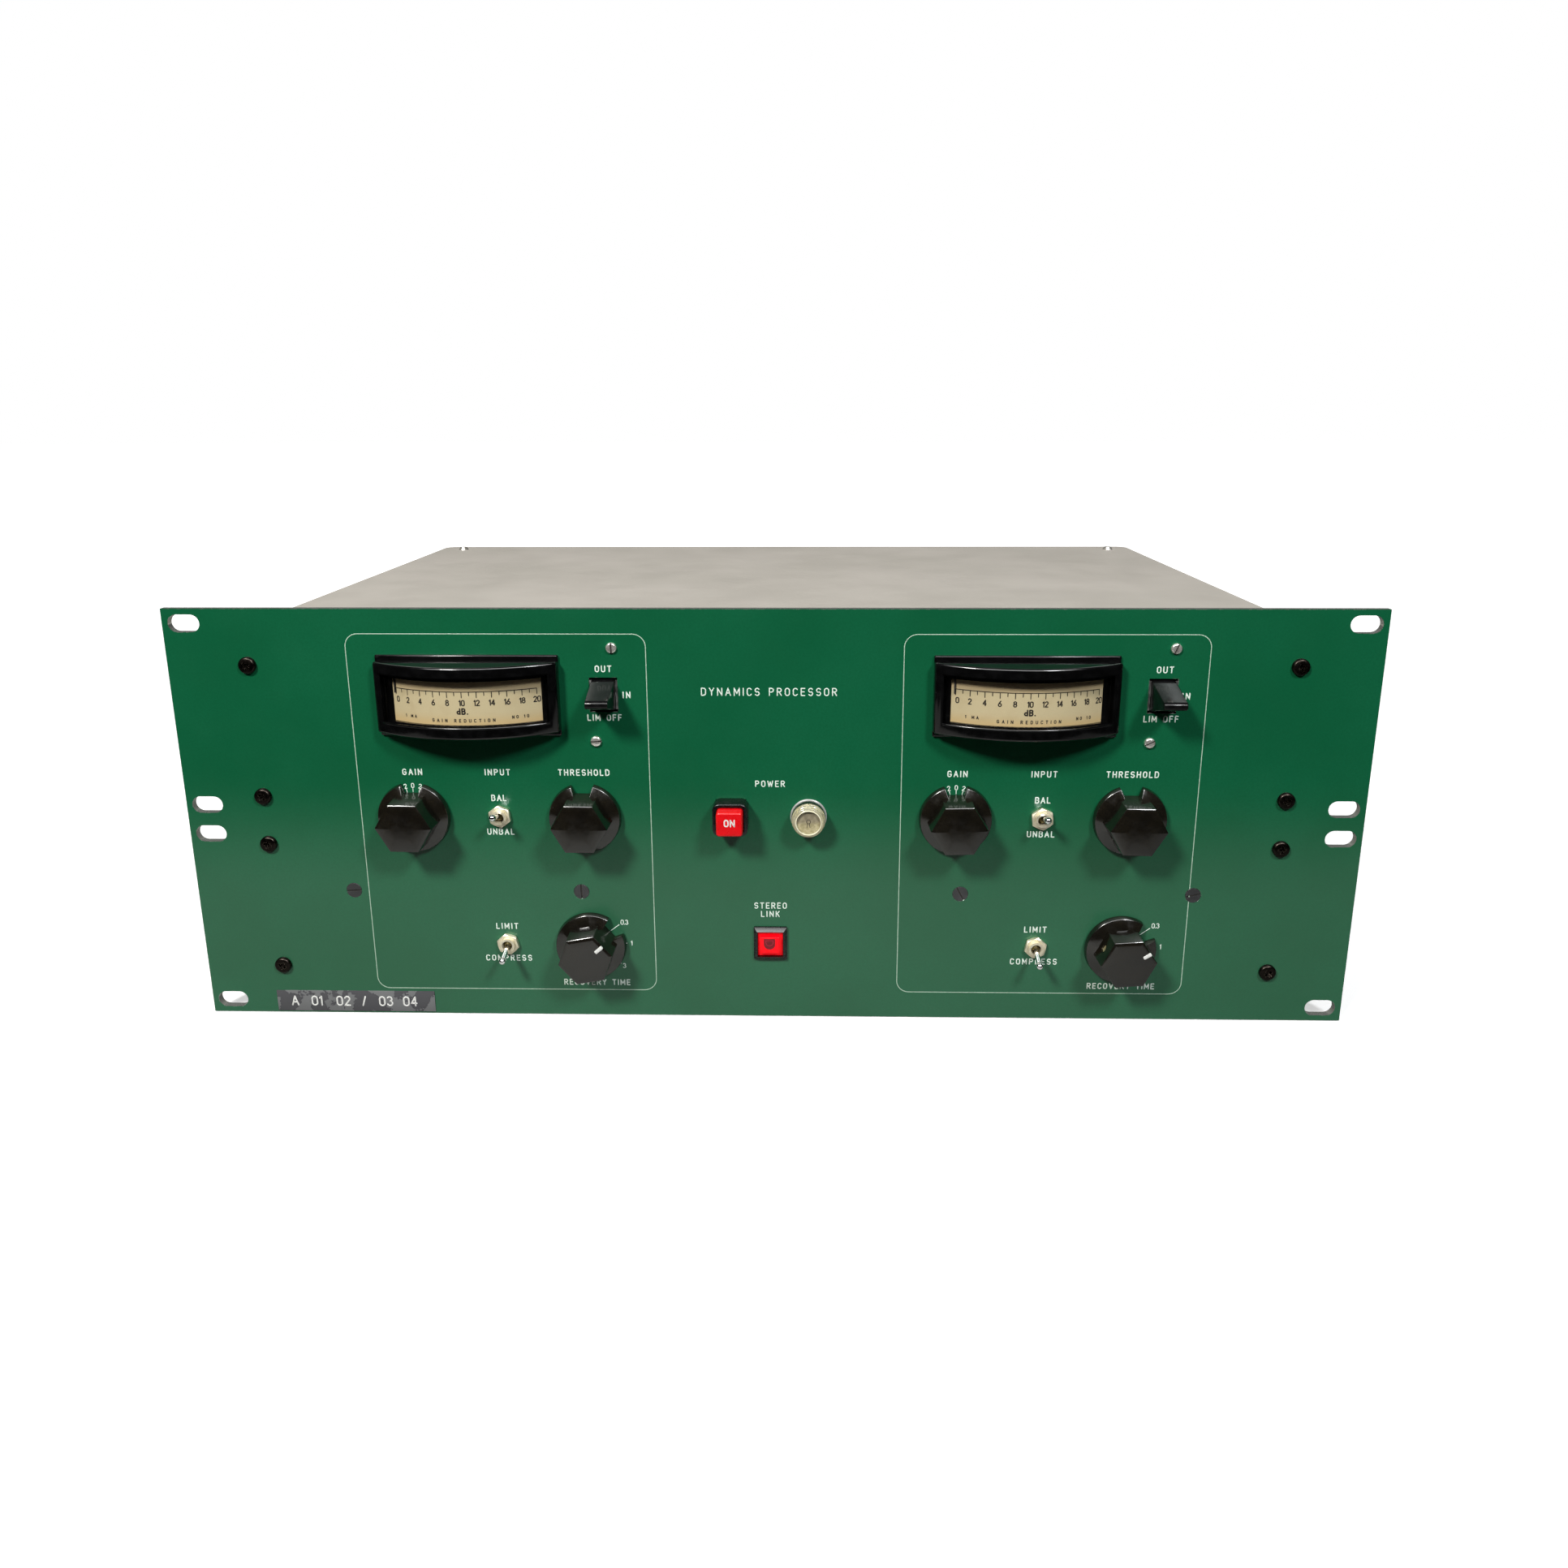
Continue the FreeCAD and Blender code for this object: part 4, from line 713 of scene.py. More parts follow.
def make_knobs():
    leans = {"gain_a": -0.8, "threshold_a": -0.6, "gain_b": 1.4, "threshold_b": -1.0, "recovery_a": 4.5,
             "recovery_b": -2}
    notches = {"gain_a": 0.0, "gain_b": 0.0, "recovery_a": -1.0, "recovery_b": 3.6}
    bars = {"a": (41, 7.8, 3.9, 1.5), "b": (30.5, 8.1, 3.6, 1.4)}
    shapes = {}
    tip = combine("DIFFERENCE", lathe([(0, 8.7), (1.5, 8.7), (1.5, 9.5), (1.35, 9.65), (0, 9.65)], 40),
                  box(0.4, 4, 9.2, 11))
    grub = finished("grub_tip", moved(tip, GRUB_AXIS))
    for channel in CHANNELS:
        for kind in ("gain", "threshold", "recovery"):
            name = f"{kind}_{channel}"
            x, z = joint_place(f"{kind}_turn_{channel}")
            turn = leans[name] - (54 if kind == "recovery" else 0)
            notch = notches.get(name, NOTCH_TURN)
            if notch not in shapes:
                shapes[notch] = finished("knob", knob_shape(notch))
            body = f"{kind}_control_{channel}"
            add(f"{kind}_grip_{channel}", shapes[notch], on_panel(x, z, turn), "black_phenolic", body,
                [f"{kind}_knob_{channel}"])
            add(f"{kind}_grub_{channel}", grub, on_panel(x, z, turn), "brass", body)
        turn, reach, length, width = bars[channel]
        bar = bevel(prism(rounded_outline(length, width, 0.45), KNOB_TOP - 0.6, KNOB_TOP + 0.05), 0.1, 2)
        bar = finished("pointer_bar", moved(bar, Matrix.Translation((reach, 0, 0))))
        add(f"pointer_bar_{channel}", bar, on_panel(x, z, turn), "bright_white", body)


# ================================================================ toggles
def nut_shape(across_corners, high, bore):
    """A hexagonal nut whose corners are chamfered by a 30 degree cone, front and back."""
    side = across_corners * math.sqrt(3) / 2
    drop = (across_corners - side) * math.tan(math.radians(30)) * 1.6
    blank = prism([polar(0, 0, across_corners, turn) for turn in range(0, 360, 60)], 0, high)
    cone = lathe([(0, 0), (side, 0), (across_corners + 0.2, drop), (across_corners + 0.2, high - drop),
                  (side, high), (0, high)])
    nut = combine("INTERSECT", blank, cone)
    hole = lathe([(0, -1), (bore, -1), (bore, high + 1), (0, high + 1)])
    return combine("DIFFERENCE", nut, hole)


def bushing_shape(radius, bore, top, pitch=0.5):
    """A threaded bushing: rounded thread crests on the outside, a chamfered mouth."""
    profile = [(bore, -5)]
    h = -2.9
    profile.append((radius - 0.3, h))
    while h < top - 0.6:
        profile += [(radius, h + pitch * 0.35), (radius, h + pitch * 0.5), (radius - 0.28, h + pitch * 0.85)]
        h += pitch
    profile += [(radius - 0.35, top), (bore + 0.25, top), (bore, top - 0.3)]
    return turned_ring(profile)


def ball_shape():
    """The lever's ball, which sits in the bushing, with the tail that works the contacts."""
    return lathe([(0, -4.2), (0.7, -4.2), (0.7, -1.75)] + arc(0, 0, 1.9, -60, 58, 12) + [(0, 1.65)], 48)


def bat_shape(tip):
    """The bat in front of the ball: a neck that thickens towards a round end."""
    profile = [(0, 1.4), (0.9, 1.4), (0.92, 3.2), (1.18, tip - 3.0), (1.18, tip - 2.5)]
    return lathe(profile + arc(0, tip - 1.42, 1.42, -44, 78, 14) + [(0, tip)], 48)


def make_toggles():
    nut = finished("toggle_nut", nut_shape(4.8, 1.8, 3.15))
    bushing = finished("toggle_bushing", bushing_shape(3.1, 2.15, 3.0))
    bat = finished("toggle_lever", bat_shape(12.3))
    ball = finished("toggle_ball", ball_shape())
    pivot = 0.6
    tilts = {"input_a": 17, "mode_a": 14, "input_b": 17, "mode_b": 17}
    turns = {"input_a": 97, "mode_a": 103, "input_b": 96, "mode_b": 78}
    nuts, bushings = [], []
    for channel in CHANNELS:
        for kind, up in (("input", 1), ("mode", -1)):
            x, z = joint_place(f"{kind}_flip_{channel}")
            nuts.append((nut, on_panel(x, z, turns[f"{kind}_{channel}"])))
            bushings.append((bushing, on_panel(x, z)))
            lean = Matrix.Rotation(math.radians(-up * tilts[f"{kind}_{channel}"]), 4, "X")
            place = on_panel(x, z, 0, -pivot) @ lean
            body = f"{kind}_lever_{channel}"
            add(f"{kind}_bat_{channel}", bat, place, "bright_chrome", body, [f"{kind}_toggle_{channel}"])
            add(f"{kind}_ball_{channel}", ball, place, "ball_tarnish", body)
    add_group("toggle_nut_set", nuts, "nickel_plate", ["toggle_nuts"])
    add_group("toggle_bushings", bushings, "nickel_plate")


def add_group(name, copies, look, replaces=()):
    """Copies of meshes, given with their matrices, as one piece on the chassis."""
    bm = bmesh.new()
    for mesh, matrix in copies:
        placed = mesh.copy()
        placed.transform(matrix)
        bm.from_mesh(placed)
        bpy.data.meshes.remove(placed)
    mesh = as_mesh(name, bm)
    mesh.materials.clear()
    return add(name, mesh, Matrix.Identity(4), look, "chassis", replaces)


# ================================================================ screws
SCREW_GAP = 0.012  # metres; two screws of a set lie further apart than this


def screw_shape(head_r, rise, shank_r, length, slot=None, flush=False):
    """A screw seen at its head: domed or flush, with a straight slot or a cross recess."""
    if flush:
        profile = [(0, -length), (shank_r, -length), (shank_r, -head_r + shank_r), (head_r - 0.05, -0.12),
                   (head_r - 0.12, 0), (0, 0)]
    else:
        crown = arc(head_r - rise * 0.62, rise * 0.38, rise * 0.62, 0, 75, 15)
        profile = [(0, -length), (shank_r, -length), (shank_r, 0), (head_r, 0)] + crown
        profile += [(head_r * 0.35, rise * 1.03), (0, rise * 1.05)]
    head = lathe(profile, 64)
    top = 0.0 if flush else rise
    if slot:
        return combine("DIFFERENCE", head, box(2 * head_r + 1, slot, top - 0.75, top + 1))
    reach = head_r * 0.56
    blade = head_r * 0.115
    arms = [moved(box(1.6 * blade, reach, top - 1.2, top + 0.6, shrink=2.0), Matrix.Rotation(turn, 4, "Z"))
            for turn in (0, math.pi / 2)]
    well = lathe([(0, top - 1.3), (blade * 1.2, top - 1.2), (blade * 3.2, top + 0.5), (0, top + 0.5)], 24)
    return combine("DIFFERENCE", head, *arms, well)


def solid_centres(node):
    """The x, z centres in millimetres of a node's separate screws, from its mesh."""
    groups = []
    for vertex in frame["nodes"][node].data.vertices:
        x, z = vertex.co.x, vertex.co.z
        near = [g for g in groups if abs(g[0][0] - x) < SCREW_GAP and abs(g[0][1] - z) < SCREW_GAP]
        if not near:
            near = [[]]
            groups += near
        near[0].append((x, z))
    return sorted(tuple((min(axis) + max(axis)) / 2 / MM for axis in zip(*group)) for group in groups)


def slotted_set(name, screw, look, turns, sunk, floor):
    """Slotted screws at their places in a node, with a dark insert in each slot as painted shade."""
    places = [on_panel(x, z, turn, sunk) for (x, z), turn in zip(solid_centres(name + "_screws"), turns)]
    add_group(name + "_screw_set", [(screw, place) for place in places], look, [name + "_screws"])
    # The dark inserts in the slots are painted shade.
    add_group(name + "_slot_shade_set", [(floor, place) for place in places], "slot_shade")


def make_screws():
    cross = finished("cross_screw", screw_shape(3.5, 1.75, 1.95, 9))
    copies = [(cross, on_panel(x, z, DRAWS.uniform(0, 90))) for x, z in solid_centres("panel_screws")]
    add_group("panel_screw_set", copies, "bronzed_screw", ["panel_screws"])
    flat = finished("flat_screw", screw_shape(3.25, 0, 1.5, 8, slot=0.75, flush=True))
    slotted_set("bracket", flat, "dark_screw", (4, 92, 118, 15), -0.12,
                finished("slot_shade_insert", box(6.3, 0.74, -0.74, -0.42)))
    small = finished("small_screw", screw_shape(2.15, 1.2, 1.5, 7, slot=0.72))
    slotted_set("key", small, "nickel_screw", (4, 92, 25, 70), 0.0,
                finished("slot_shade_insert", box(4.1, 0.7, 0.3, 0.75)))


# ================================================================ lever keys
KEY_FRONT = 17.0
KEY_PIVOT = -1.5
KEY_BARREL_R = 6.3
KEY_LIP_R = 1.75
KEY_WIDE = 9.4


def between(start, end):
    """Two points close to the ends of a straight run, which keep its middle flat when smoothed."""
    return [tuple(a + (b - a) * share for a, b in zip(start, end)) for share in (0.04, 0.96)]


def key_shape():
    """A wedge in side view, tangent to its barrel and its rounded lip, narrower at the lip."""
    reach = KEY_FRONT - KEY_LIP_R - KEY_PIVOT
    lean = math.degrees(math.asin((KEY_BARREL_R - KEY_LIP_R) / reach))
    barrel = arc(KEY_PIVOT, 0, KEY_BARREL_R, 90 - lean, 270 + lean, 12)
    lip = arc(KEY_FRONT - KEY_LIP_R, 0, KEY_LIP_R, -90 + lean, 90 - lean, 18)
    outline = barrel + between(barrel[-1], lip[0]) + lip + between(lip[-1], barrel[0])
    bm = bmesh.new()
    left, right = [], []
    for h, y in outline:
        half = KEY_WIDE / 2 - 0.22 * max(0.0, h) / KEY_FRONT
        left.append(bm.verts.new((-half, y, h)))
        right.append(bm.verts.new((half, y, h)))
    return bevel(capped(bm, [left, right]), 0.3, 3, 50)


def make_keys():
    lever = finished("key_lever", key_shape())
    lean = math.atan2(KEY_BARREL_R - KEY_LIP_R, KEY_FRONT - KEY_LIP_R - KEY_PIVOT)
    for channel in CHANNELS:
        x, z = joint_place("key_tilt_" + channel)
        body = "output_key_" + channel
        add(f"key_paddle_{channel}", lever, on_panel(x, z), "key_black", body, [f"key_lever_{channel}"])
    x, z = joint_place("key_tilt_a")
    middle = 5.2
    high = 6.45 * math.cos(lean) - (middle - KEY_PIVOT) * math.tan(lean) + 0.12
    upper = Matrix.Translation((0, high, middle))
    slope = Matrix.Rotation(-math.pi / 2 + lean, 4, "X")
    mark = stroke_mesh("key_mark", strokes_of("on", 3.6, gap=1.3), 0.36, 0.1)
    place = on_panel(x, z) @ Matrix.Scale(MM, 4) @ upper @ slope @ Matrix.Scale(1 / MM, 4)
    add("key_mark", mark, place, "dim_mark", "output_key_a")


# ================================================================ edgewise meters
METER_R = 64.9
METER_WIDE = 73.2
METER_FRONT = 15.7
METER_WALL = 4.5
METER_AXIS = METER_FRONT - METER_R
SCALE_R = 59.5


def bowed_block(wide, low, high, radius, back=0.0, steps=40):
    """A block with an upright cylindrical front, of this radius about the meter's axis."""
    half = math.asin(wide / 2 / radius)
    turns = [-half + 2 * half * i / steps for i in range(steps + 1)]
    front = [(radius * math.sin(t), METER_AXIS + radius * math.cos(t)) for t in turns]
    outline = [(-wide / 2, back)] + front + [(wide / 2, back)]
    bm = bmesh.new()
    lower = [bm.verts.new((x, low, h)) for x, h in outline]
    upper = [bm.verts.new((x, high, h)) for x, h in outline]
    return capped(bm, [lower, upper])


def meter_case_shape():
    shell = bevel(bowed_block(METER_WIDE, -14.5, 14.5, METER_R), 1.0, 4, 50)
    rim = bevel(box(METER_WIDE, 33.3, 0, 1.3), 0.5, 3, 50)
    tail = bevel(box(67, 25, -66, 0.6), 0.6, 2, 50)
    case = combine("UNION", shell, rim, tail)
    chamber = bowed_block(66.4, -12, 12, METER_R - METER_WALL, 1.0)
    window = box(66.5, 19.5, 1.05, METER_FRONT + 3)
    splay = box(67.6, 20.6, METER_FRONT - 9.6, METER_FRONT + 3)
    splay = combine("DIFFERENCE", splay, bowed_block(90, -20, 20, METER_R - 0.55, -5))
    case = combine("DIFFERENCE", case, chamber, box(64, 22, -64.5, 2), window, splay)
    bmesh.ops.dissolve_limit(case, angle_limit=math.radians(0.5), verts=case.verts, edges=case.edges)
    return case


def meter_lip_shape():
    """The stepped frame just inside the window that holds the clear sheet."""
    sheet = bowed_block(66.3, -9.65, 9.65, METER_R - 2.5, 1.4)
    inner = bowed_block(80, -30, 30, METER_R - 3.25, -5)
    opening = box(63.9, 17.7, -5, METER_FRONT + 3, 0, -0.4)
    return combine("DIFFERENCE", sheet, inner, opening)


def on_arc(base, lift):
    """Bends a flat drawing on to a cylinder about the meter's axis."""
    def bend(point):
        turn = point.x / base
        radius = base + lift + point.z
        return Vector((radius * math.sin(turn), point.y, METER_AXIS + radius * math.cos(turn)))
    return bend


def scale_marks():
    """The arc line with its ticks, and the numbers and unit below them."""
    line_y = 3.75
    full = math.radians(28.2) * SCALE_R
    lines = [[(-full + full * i / 30, line_y) for i in range(61)]]
    letters = []
    for i in range(21):
        x = -full + full * i / 10
        lines.append([(x, line_y), (x, line_y - (2.3 if i % 2 == 0 else 1.45))])
        if i % 2 == 0:
            letters += strokes_of(str(i), 2.1, gap=1.4, x=x + (0.8 if i == 0 else 0.0), y=-0.7)
    unit = strokes_of("dB.", 2.15, gap=2.4, y=-4.1)
    return lines, letters, unit


def make_meters():
    case = finished("meter_case", meter_case_shape(), 28)
    lip = finished("meter_lip", meter_lip_shape(), 28)
    reach = math.asin(33.4 / METER_R) * METER_R
    sill = stroke_mesh("meter_sill", [[(-reach + reach * i / 20, -10.0) for i in range(41)]], 1.1, 0.5,
                       on_arc(METER_R, -0.5))
    edge = stroke_mesh("meter_edge", [[(-36.0, 16.1), (36.0, 16.1)]], 1.0, 0.55)
    lines, letters, unit = scale_marks()
    small = strokes_of("GAIN REDUCTION", 1.2, 25.0, y=-7.9)
    small += strokes_of("1 MA", 1.1, 5.2, x=-22.4, y=-7.0) + strokes_of("NO 10", 1.1, 6.4, x=22.4, y=-7.2)
    prints = (("ticks", lines, 0.34), ("numbers", letters, 0.46), ("unit", unit, 0.6), ("words", small, 0.3))
    prints = [(kind, stroke_mesh("scale_" + kind, strokes, width, 0.03, on_arc(SCALE_R, 0.02)))
              for kind, strokes, width in prints]
    for channel in CHANNELS:
        x, z = node_centre("meter_case_" + channel)
        place = on_panel(x, z)
        add(f"meter_shell_{channel}", case, place, "meter_black", "chassis", [f"meter_case_{channel}"])
        add(f"meter_lip_{channel}", lip, place, "meter_black", "chassis")
        add(f"meter_sill_{channel}", sill, place, "meter_black", "chassis")
        add(f"meter_edge_{channel}", edge, on_panel(x, z, 0, -0.95), "meter_black", "chassis")
        for kind, mesh in prints:
            add(f"scale_{kind}_{channel}", mesh, place, "scale_ink", "chassis")


# ================================================================ buttons and lamp
def make_power_button():
    x, z = node_centre("power_button_body")
    bezel = bevel(prism(rounded_outline(14.3, 13.8, 3.0), 0, 8.0), 0.45, 3, 50)
    tail = box(12.2, 12.2, -28, 0.5)
    well = prism(rounded_outline(11.5, 11.4, 1.9), -3, 12)
    body = combine("DIFFERENCE", combine("UNION", bezel, tail), well)
    add("power_bezel", body, on_panel(x, z), "button_black", "chassis", ["power_button_body"])
    cap = bevel(prism(rounded_outline(10.85, 10.5, 1.4), 0.4, 13.0, 0.975), 0.9, 5, 50)
    add("power_cap", cap, on_panel(x, z), "red_cap", "power_button", ["power_button_cap"])
    word = stroke_mesh("power_word", strokes_of("ON", 2.6, gap=2.2, x=0.1, y=0.75), 0.76, 0.07)
    add("power_word", word, on_panel(x, z, 0, -12.97), "bright_white", "power_button")


def make_link_button():
    x, z = node_centre("link_button_body")
    outer = prism(rounded_outline(14.0, 14.6, 0.5), 0, 1.0)
    slope = box(14, 14.6, 0.9, 2.6, shrink=0.8)
    bezel = bevel(combine("UNION", outer, slope), 0.12, 2, 25)
    tail = box(12.2, 12.2, -22, 0.4)
    well = box(10.8, 11.2, -2.5, 5)
    body = combine("DIFFERENCE", combine("UNION", bezel, tail), well)
    add("link_bezel", body, on_panel(x, z), "button_black", "chassis", ["link_button_body"])
    skirt = bevel(box(10.4, 10.8, -0.5, 1.3), 0.2, 2)
    block = bevel(box(8.1, 7.4, 1.0, 3.8, -0.3, 0.3), 0.35, 3)
    add("link_cap", combine("UNION", skirt, block), on_panel(x, z), "red_lens", "link_button",
        ["link_button_cap"])
    middle, head, half = -0.3, 3.3, 2.35
    foot = arc(middle, head - half, half, 180, 360, 15)
    pane = prism([(middle - half, head), (middle + half, head)] + foot[::-1], 3.5, 3.84)
    add("link_pane", pane, on_panel(x, z), "led_dark", "link_button")
    line = [(middle - 1.5, head - 0.7)] + arc(middle, head - 1.6, 1.5, 180, 360, 15)
    line += [(middle + 1.5, head - 0.7), (middle - 1.5, head - 0.7)]
    line = stroke_mesh("link_pane_line", [line], 0.22, 0.03)
    add("link_pane_line", line, on_panel(x, z, 0, -3.83), "led_line", "link_button")


def make_lamp():
    x, z = node_centre("lamp_bezel")
    place = on_panel(x, z)
    flange = [(5.9, 0), (7.25, 0)] + arc(7.2, 0.35, 0.3, -60, 60, 20) + [(7.1, 0.95), (5.9, 0.95)]
    add("lamp_flange", turned_ring(flange, 96), place, "flange_chrome", "chassis", ["lamp_bezel"])
    collar = [(4.6, -24), (5.88, -24), (5.88, 0.97), (7.0, 0.97), (7.0, 3.7), (6.8, 3.93), (4.6, 3.93)]
    add("lamp_collar", turned_ring(collar, 96), place, "dark_chrome", "chassis")
    lens = [(0, 5.4), (2.2, 5.0), (3.6, 3.4), (3.6, -4), (4.5, -4), (4.5, 3.95), (6.75, 3.95), (6.9, 4.1)]
    lens += [(6.85, 5.0), (6.6, 5.15), (6.52, 6.15), (6.3, 6.3)] + arc(5.55, 7.25, 0.85, 5, 80, 15)
    lens += [(5.55, 8.05)] + arc(5.2, 8.05, 0.2, 60, 180, 30) + [(4.95, 7.75), (4.75, 7.1), (0, 6.9)]
    add("lamp_cover", lathe(lens, 96), place, "cream_lens", "chassis", ["lamp_lens"])
    dish = lathe([(0, 6.92), (4.7, 7.12), (4.75, 7.3), (3.6, 7.22), (1.8, 7.42), (0, 7.36)], 64)
    add("lamp_dish", dish, place, "lamp_dish", "chassis")
    lip = turned_ring([(4.85, 8.0)] + arc(5.1, 8.15, 0.22, 180, 0, 30) + [(5.35, 8.0)], 96)
    add("lamp_lip", lip, place, "lamp_lip", "chassis")
    keyhole = [arc(0, 0.35, 0.8, 250, -70, 20), [(-0.3, -0.45), (-0.55, -1.9)], [(0.3, -0.45), (0.55, -1.9)]]
    thread = stroke_mesh("lamp_filament", keyhole, 0.42, 0.06)
    add("lamp_filament", thread, on_panel(x, z, 0, -7.38), "filament", "chassis")


# ================================================================ legends, dials and tape
CHANNEL_LEGENDS = (
    ("GAIN", -35.0, 109.4, 8.2), ("INPUT", 0.0, 109.4, 10.5), ("THRESHOLD", 35.4, 109.4, 21.1),
    ("BAL", -0.1, 98.3, 6.3), ("UNBAL", -0.2, 83.6, 11.3), ("LIMIT", -0.2, 41.1, 9.4),
    ("COMPRESS", -0.3, 26.4, 19.7), ("RECOVERY TIME", 36.9, 15.3, 28.4),
    ("OUT", 45.1, 152.8, 6.7), ("IN", 54.1, 142.1, 3.2), ("LIM OFF", 44.9, 132.7, 13.9),
)
MIDDLE_LEGENDS = (("DYNAMICS PROCESSOR", 0.0, 143.5, 54.4, 3.4), ("POWER", 0.2, 104.9, 12.2, 2.8),
                  ("STEREO", 0.1, 51.2, 13.7, 2.85), ("LINK", 0.0, 47.4, 7.9, 2.85))
CAP_HEIGHT = 2.8
LEGEND_STROKE = 0.47
OUTLINE_SPAN = (-57.6, 62.3, 11.8, 166.9)


def outline_line(left, right, low, high, corner=5.2):
    ring = [(x + (left + right) / 2, y + (low + high) / 2)
            for x, y in rounded_outline(right - left, high - low, corner, 9)]
    return ring + ring[:1]


def dial_strokes(joint, entries, number_r=13.25, tick_low=10.6, tick_high=11.9, cap=1.85):
    """Numbers and ticks round a knob; entries are text and degrees clockwise from the top."""
    cx, cy = joint_place(joint)
    letters, ticks = [], []
    for text, turn in entries:
        x, y = polar(cx, cy, number_r, 90 - turn)
        letters += strokes_of(text, cap, gap=1.1, turn=-turn, x=x, y=y)
        ticks.append([polar(cx, cy, r, 90 - turn) for r in (tick_low, tick_high)])
    return letters, ticks


def make_legends():
    for channel in CHANNELS:
        centre = channel_x(channel)
        words = []
        for text, dx, y, wide in CHANNEL_LEGENDS:
            words += strokes_of(text, CAP_HEIGHT - LEGEND_STROKE, wide - LEGEND_STROKE, x=centre + dx, y=y)
        add_strokes(f"legends_{channel}", words, LEGEND_STROKE)
        left, right, low, high = OUTLINE_SPAN
        add_strokes(f"outline_{channel}", [outline_line(centre + left, centre + right, low, high)], 0.32,
                    "line_white")
        entries = [(str(abs(2 * i)), 13.2 * i) for i in range(-10, 11)]
        letters, ticks = dial_strokes(f"gain_turn_{channel}", entries)
        entries = [(str(2 * i), 54 * i - 135) for i in range(6)]
        more = dial_strokes(f"threshold_turn_{channel}", entries)
        add_strokes(f"dial_numbers_{channel}", letters + more[0], 0.34)
        add_strokes(f"dial_ticks_{channel}", ticks + more[1], 0.3)
        knob_x, knob_z = joint_place(f"recovery_turn_{channel}")
        marks = []
        for text, turn, reach in (("0.3", 35.5, 17.5), ("1", 2, 17.0), ("3", -36, 16.8)):
            x, y = polar(knob_x, knob_z, reach, turn)
            marks += strokes_of(text, 1.95, gap=1.2, x=x, y=y)
        rays = [[polar(knob_x, knob_z, r, turn) for r in (10.5, 15.0)] for turn in (37, 2, -36)]
        add_strokes(f"recovery_marks_{channel}", marks, 0.36)
        add_strokes(f"recovery_rays_{channel}", rays, 0.3)
    words = []
    for text, x, y, wide, cap in MIDDLE_LEGENDS:
        words += strokes_of(text, cap - LEGEND_STROKE, wide - LEGEND_STROKE, x=x, y=y)
    add_strokes("legends_middle", words, LEGEND_STROKE - 0.03)


def add_strokes(name, lines, width, look="legend_white"):
    add(name, stroke_mesh(name, lines, width, 0.05), on_panel(0, 0), look, "chassis")


def make_tape():
    left, right, low, high = -213.2, -144.7, 0.8, 10.4
    tape = bevel(box(right - left, high - low, 0.02, 0.32, (left + right) / 2, (low + high) / 2), 0.1, 2)
    add("label_strip", tape, on_panel(0, 0), "label_tape", "chassis")
    words = []
    for text, x in zip(("A", "01", "02", "/", "03", "04"), (-205.5, -196.0, -184.5, -175.5, -166.0, -155.5)):
        words += strokes_of(text, 4.1, gap=1.7, x=x, y=5.5)
    raised = stroke_mesh("label_characters", words, 0.72, 0.18)
    add("label_characters", raised, on_panel(0, 0, 0, -0.3), "bright_white", "chassis")


# ================================================================ build
make_knobs()
make_toggles()
make_screws()
make_keys()
make_meters()
make_power_button()
make_link_button()
make_lamp()
make_legends()
make_tape()


# ================================================================ floor, light and camera
def sheet(name, low, high, height, look):
    bm = bmesh.new()
    corners = ((low[0], low[1]), (high[0], low[1]), (high[0], high[1]), (low[0], high[1]))
    bm.faces.new([bm.verts.new((x, y, height)) for x, y in corners])
    mesh = as_mesh(name, bm)
    mesh.materials.append(look.material)
    made = linked(name, mesh)
    return made


def make_floor():
    """White paper for the camera, a dark table for diffuse light and a paler one for reflections."""
    look = Look("floor_paper", (0.86, 0.86, 0.86), 0.8)
    look.color(look.mix(look.patches(400, 2, 0.3, 0.7), (0.85, 0.85, 0.85), (0.87, 0.87, 0.87)))
    away = look.node("VectorMath", operation="LENGTH")
    look.feed(away.inputs[0], look.place)
    look.feed(look.shader.inputs["Emission Strength"], look.step(away.outputs["Value"], 0.5, 1.5, 0.45, 1.0))
    paper = sheet("floor", (-8, -8), (8, 8), -0.0004, look)
    look = Look("table_top", (0.045, 0.045, 0.044), 0.8)
    look.color(look.mix(look.patches(60, 2, 0.3, 0.7), (0.04, 0.04, 0.039), (0.05, 0.05, 0.049)))
    table = sheet("table", (-1.2, FACE - 0.235), (1.2, 0.8), -0.0006, look)
    look = Look("table_sheen", (0.4, 0.4, 0.385), 0.8)
    near = look.step(look.axis("Y"), FACE - 0.26, FACE - 0.04, 0.0, 1.0)
    across = look.step(look.axis("X"), 0.02, 0.32, 0.0, 1.0)
    left = look.mix(near, (0.27, 0.27, 0.26), (0.46, 0.46, 0.445))
    tone = look.mix(across, left, look.mix(near, (0.13, 0.13, 0.126), (0.24, 0.24, 0.232)))
    away = look.step(look.math("ABSOLUTE", look.axis("X")), 0.05, 0.25, 0.0, 0.35)
    look.color(look.mix(away, tone, (0.0, 0.0, 0.0)))
    sheen = sheet("sheen", (-0.42, FACE - 0.222), (0.42, 0.8), -0.0005, look)
    for ray in ("diffuse", "glossy", "transmission", "volume_scatter", "shadow"):
        setattr(paper, "visible_" + ray, False)
    for thing, unseen in ((table, "glossy"), (sheen, "diffuse")):
        thing.visible_camera = False
        thing.visible_shadow = False
        setattr(thing, "visible_" + unseen, False)


def make_light(name, place, target, size, power, color=(1, 1, 1), unseen=()):
    data = bpy.data.lights.new(name, "AREA")
    data.shape = "RECTANGLE"
    data.size, data.size_y = size
    data.energy = power
    data.color = color
    lamp = linked(name, data)
    lamp.location = place
    lamp.rotation_euler = (Vector(target) - Vector(place)).to_track_quat("-Z", "Y").to_euler()
    for ray in unseen:
        setattr(lamp, "visible_" + ray, False)


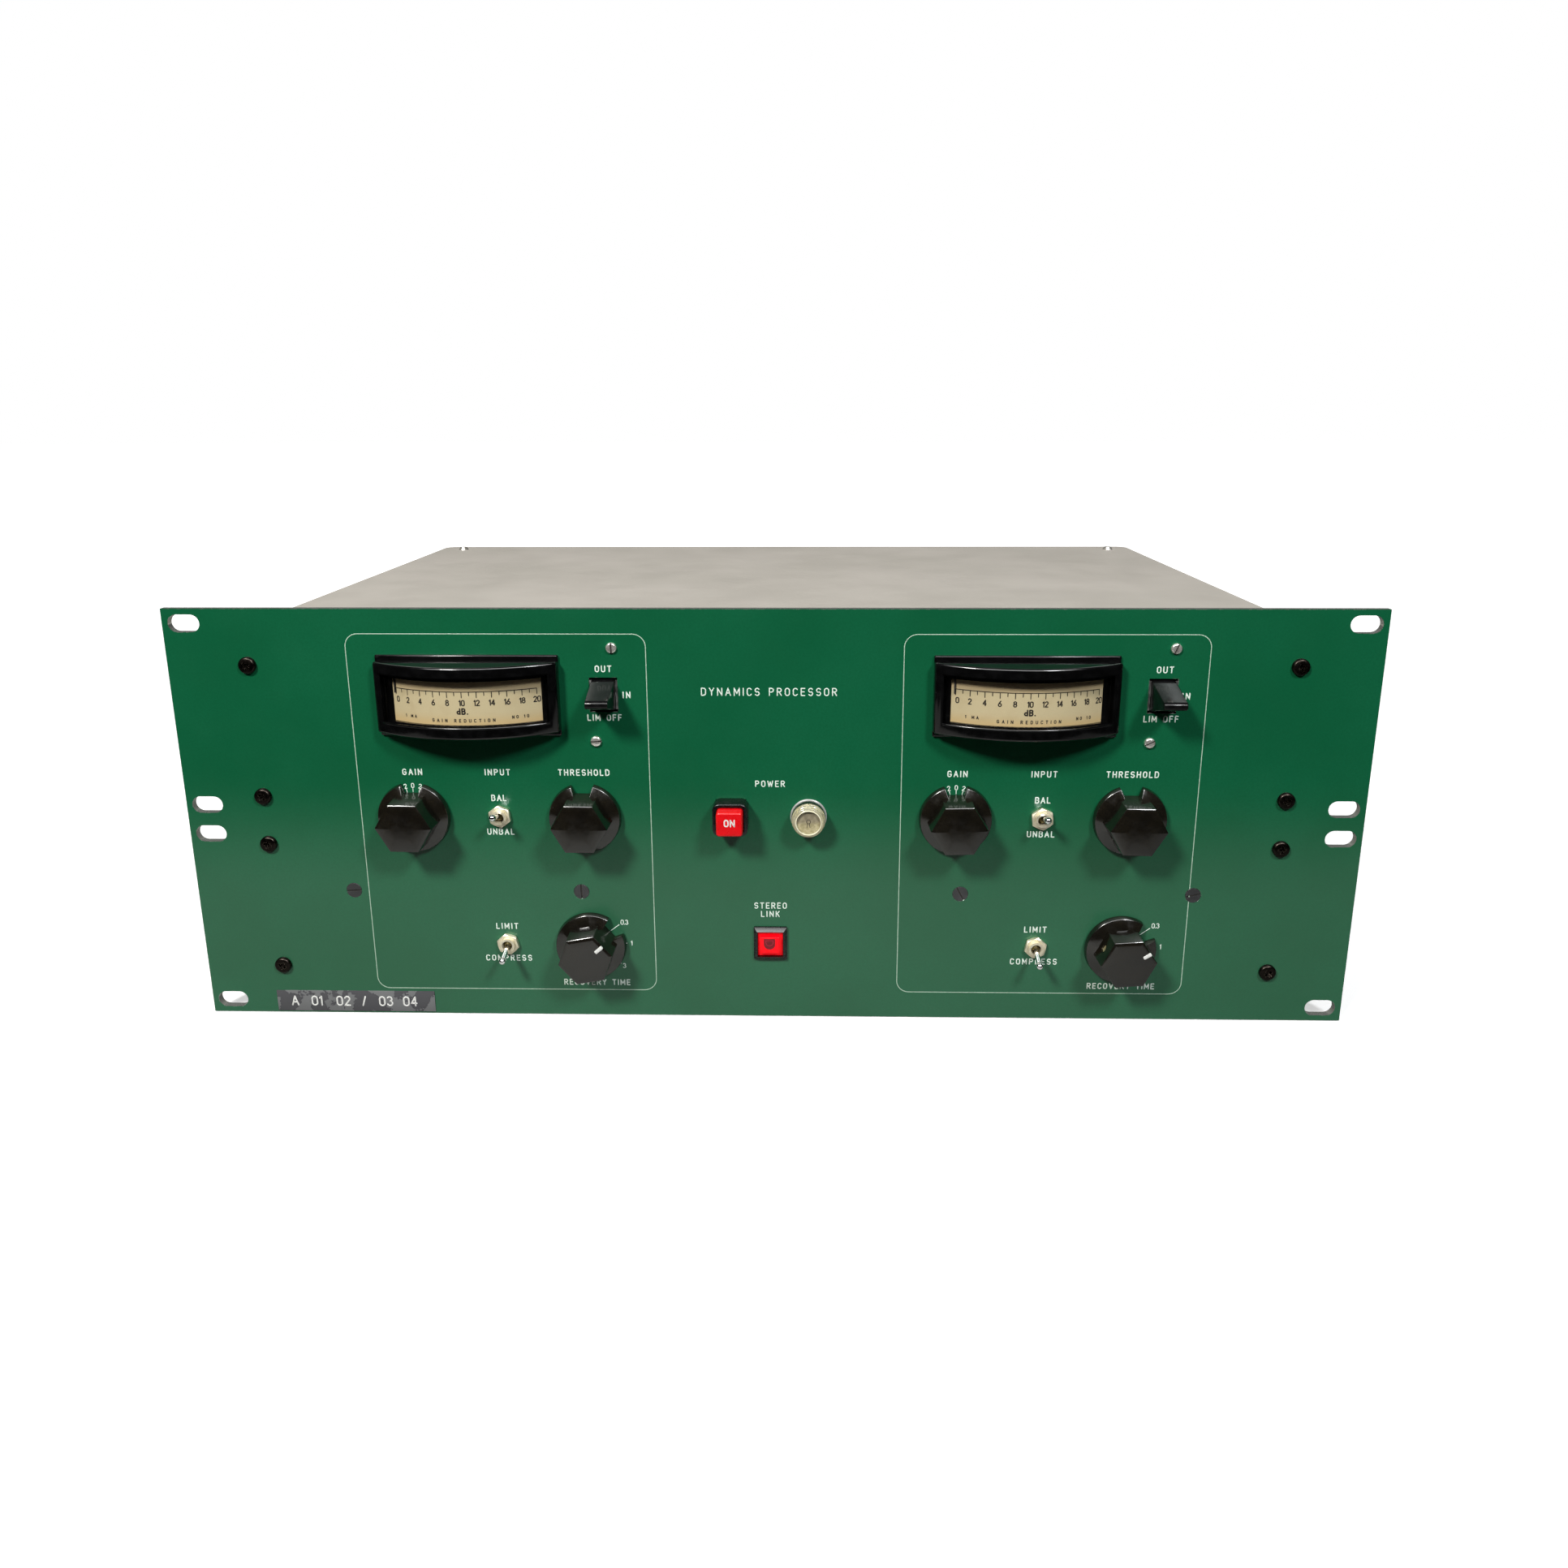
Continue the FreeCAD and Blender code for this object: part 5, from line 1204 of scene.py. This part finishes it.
def make_world():
    world = bpy.data.worlds.new("studio")
    world.use_nodes = True
    tree = world.node_tree
    shade = tree.nodes["Background"]
    shade.inputs["Color"].default_value = (0.9, 0.93, 1.0, 1)
    shade.inputs["Strength"].default_value = 0.006
    plain = tree.nodes.new("ShaderNodeBackground")
    plain.inputs["Color"].default_value = (1, 1, 1, 1)
    plain.inputs["Strength"].default_value = 1.0
    path = tree.nodes.new("ShaderNodeLightPath")
    pick = tree.nodes.new("ShaderNodeMixShader")
    tree.links.new(path.outputs["Is Camera Ray"], pick.inputs[0])
    tree.links.new(shade.outputs[0], pick.inputs[1])
    tree.links.new(plain.outputs[0], pick.inputs[2])
    tree.links.new(pick.outputs[0], tree.nodes["World Output"].inputs["Surface"])
    bpy.context.scene.world = world


def make_camera():
    """A wide view from just right of centre, above the panel, looking 14 degrees down."""
    data = bpy.data.cameras.new("camera")
    data.sensor_width = 36.0
    data.lens = 36.0 * 0.70909
    data.shift_x = 0.00038
    data.shift_y = -0.06609
    data.clip_start = 0.01
    camera = linked("camera", data)
    camera.location = (0.01538, FACE - 0.42904, 0.25369)
    camera.rotation_euler = (math.radians(76.1975), math.radians(0.1811), math.radians(1.2359))
    bpy.context.scene.camera = camera


make_floor()
MIDDLE = (0, FACE, 0.09)
make_light("left_key", (-0.67, FACE - 0.93, 1.12), MIDDLE, (0.24, 0.24), 22, (1, 0.975, 0.93))
make_light("right_key", (0.67, FACE - 0.93, 1.12), MIDDLE, (0.24, 0.24), 13, (0.96, 0.98, 1))
for side in (-1, 1):
    make_light(f"rear_low_{side}", (side * 1.15, FACE + 1.35, 0.1), (0, FACE + 0.2, 0.1), (0.7, 0.12), 7,
               unseen=("camera", "glossy"))
make_light("overhead", (0, 0.2, 1.2), (0, 0.2, 0), (1.0, 0.6), 5.5, unseen=("glossy",))
make_light("strip", (0, FACE - 0.9, 1.25), (0, FACE, 0.1), (2.4, 0.7), 44, unseen=("diffuse",))
make_world()
make_camera()
bpy.context.scene.view_settings.view_transform = "Standard"
bpy.context.scene.view_settings.look = "None"
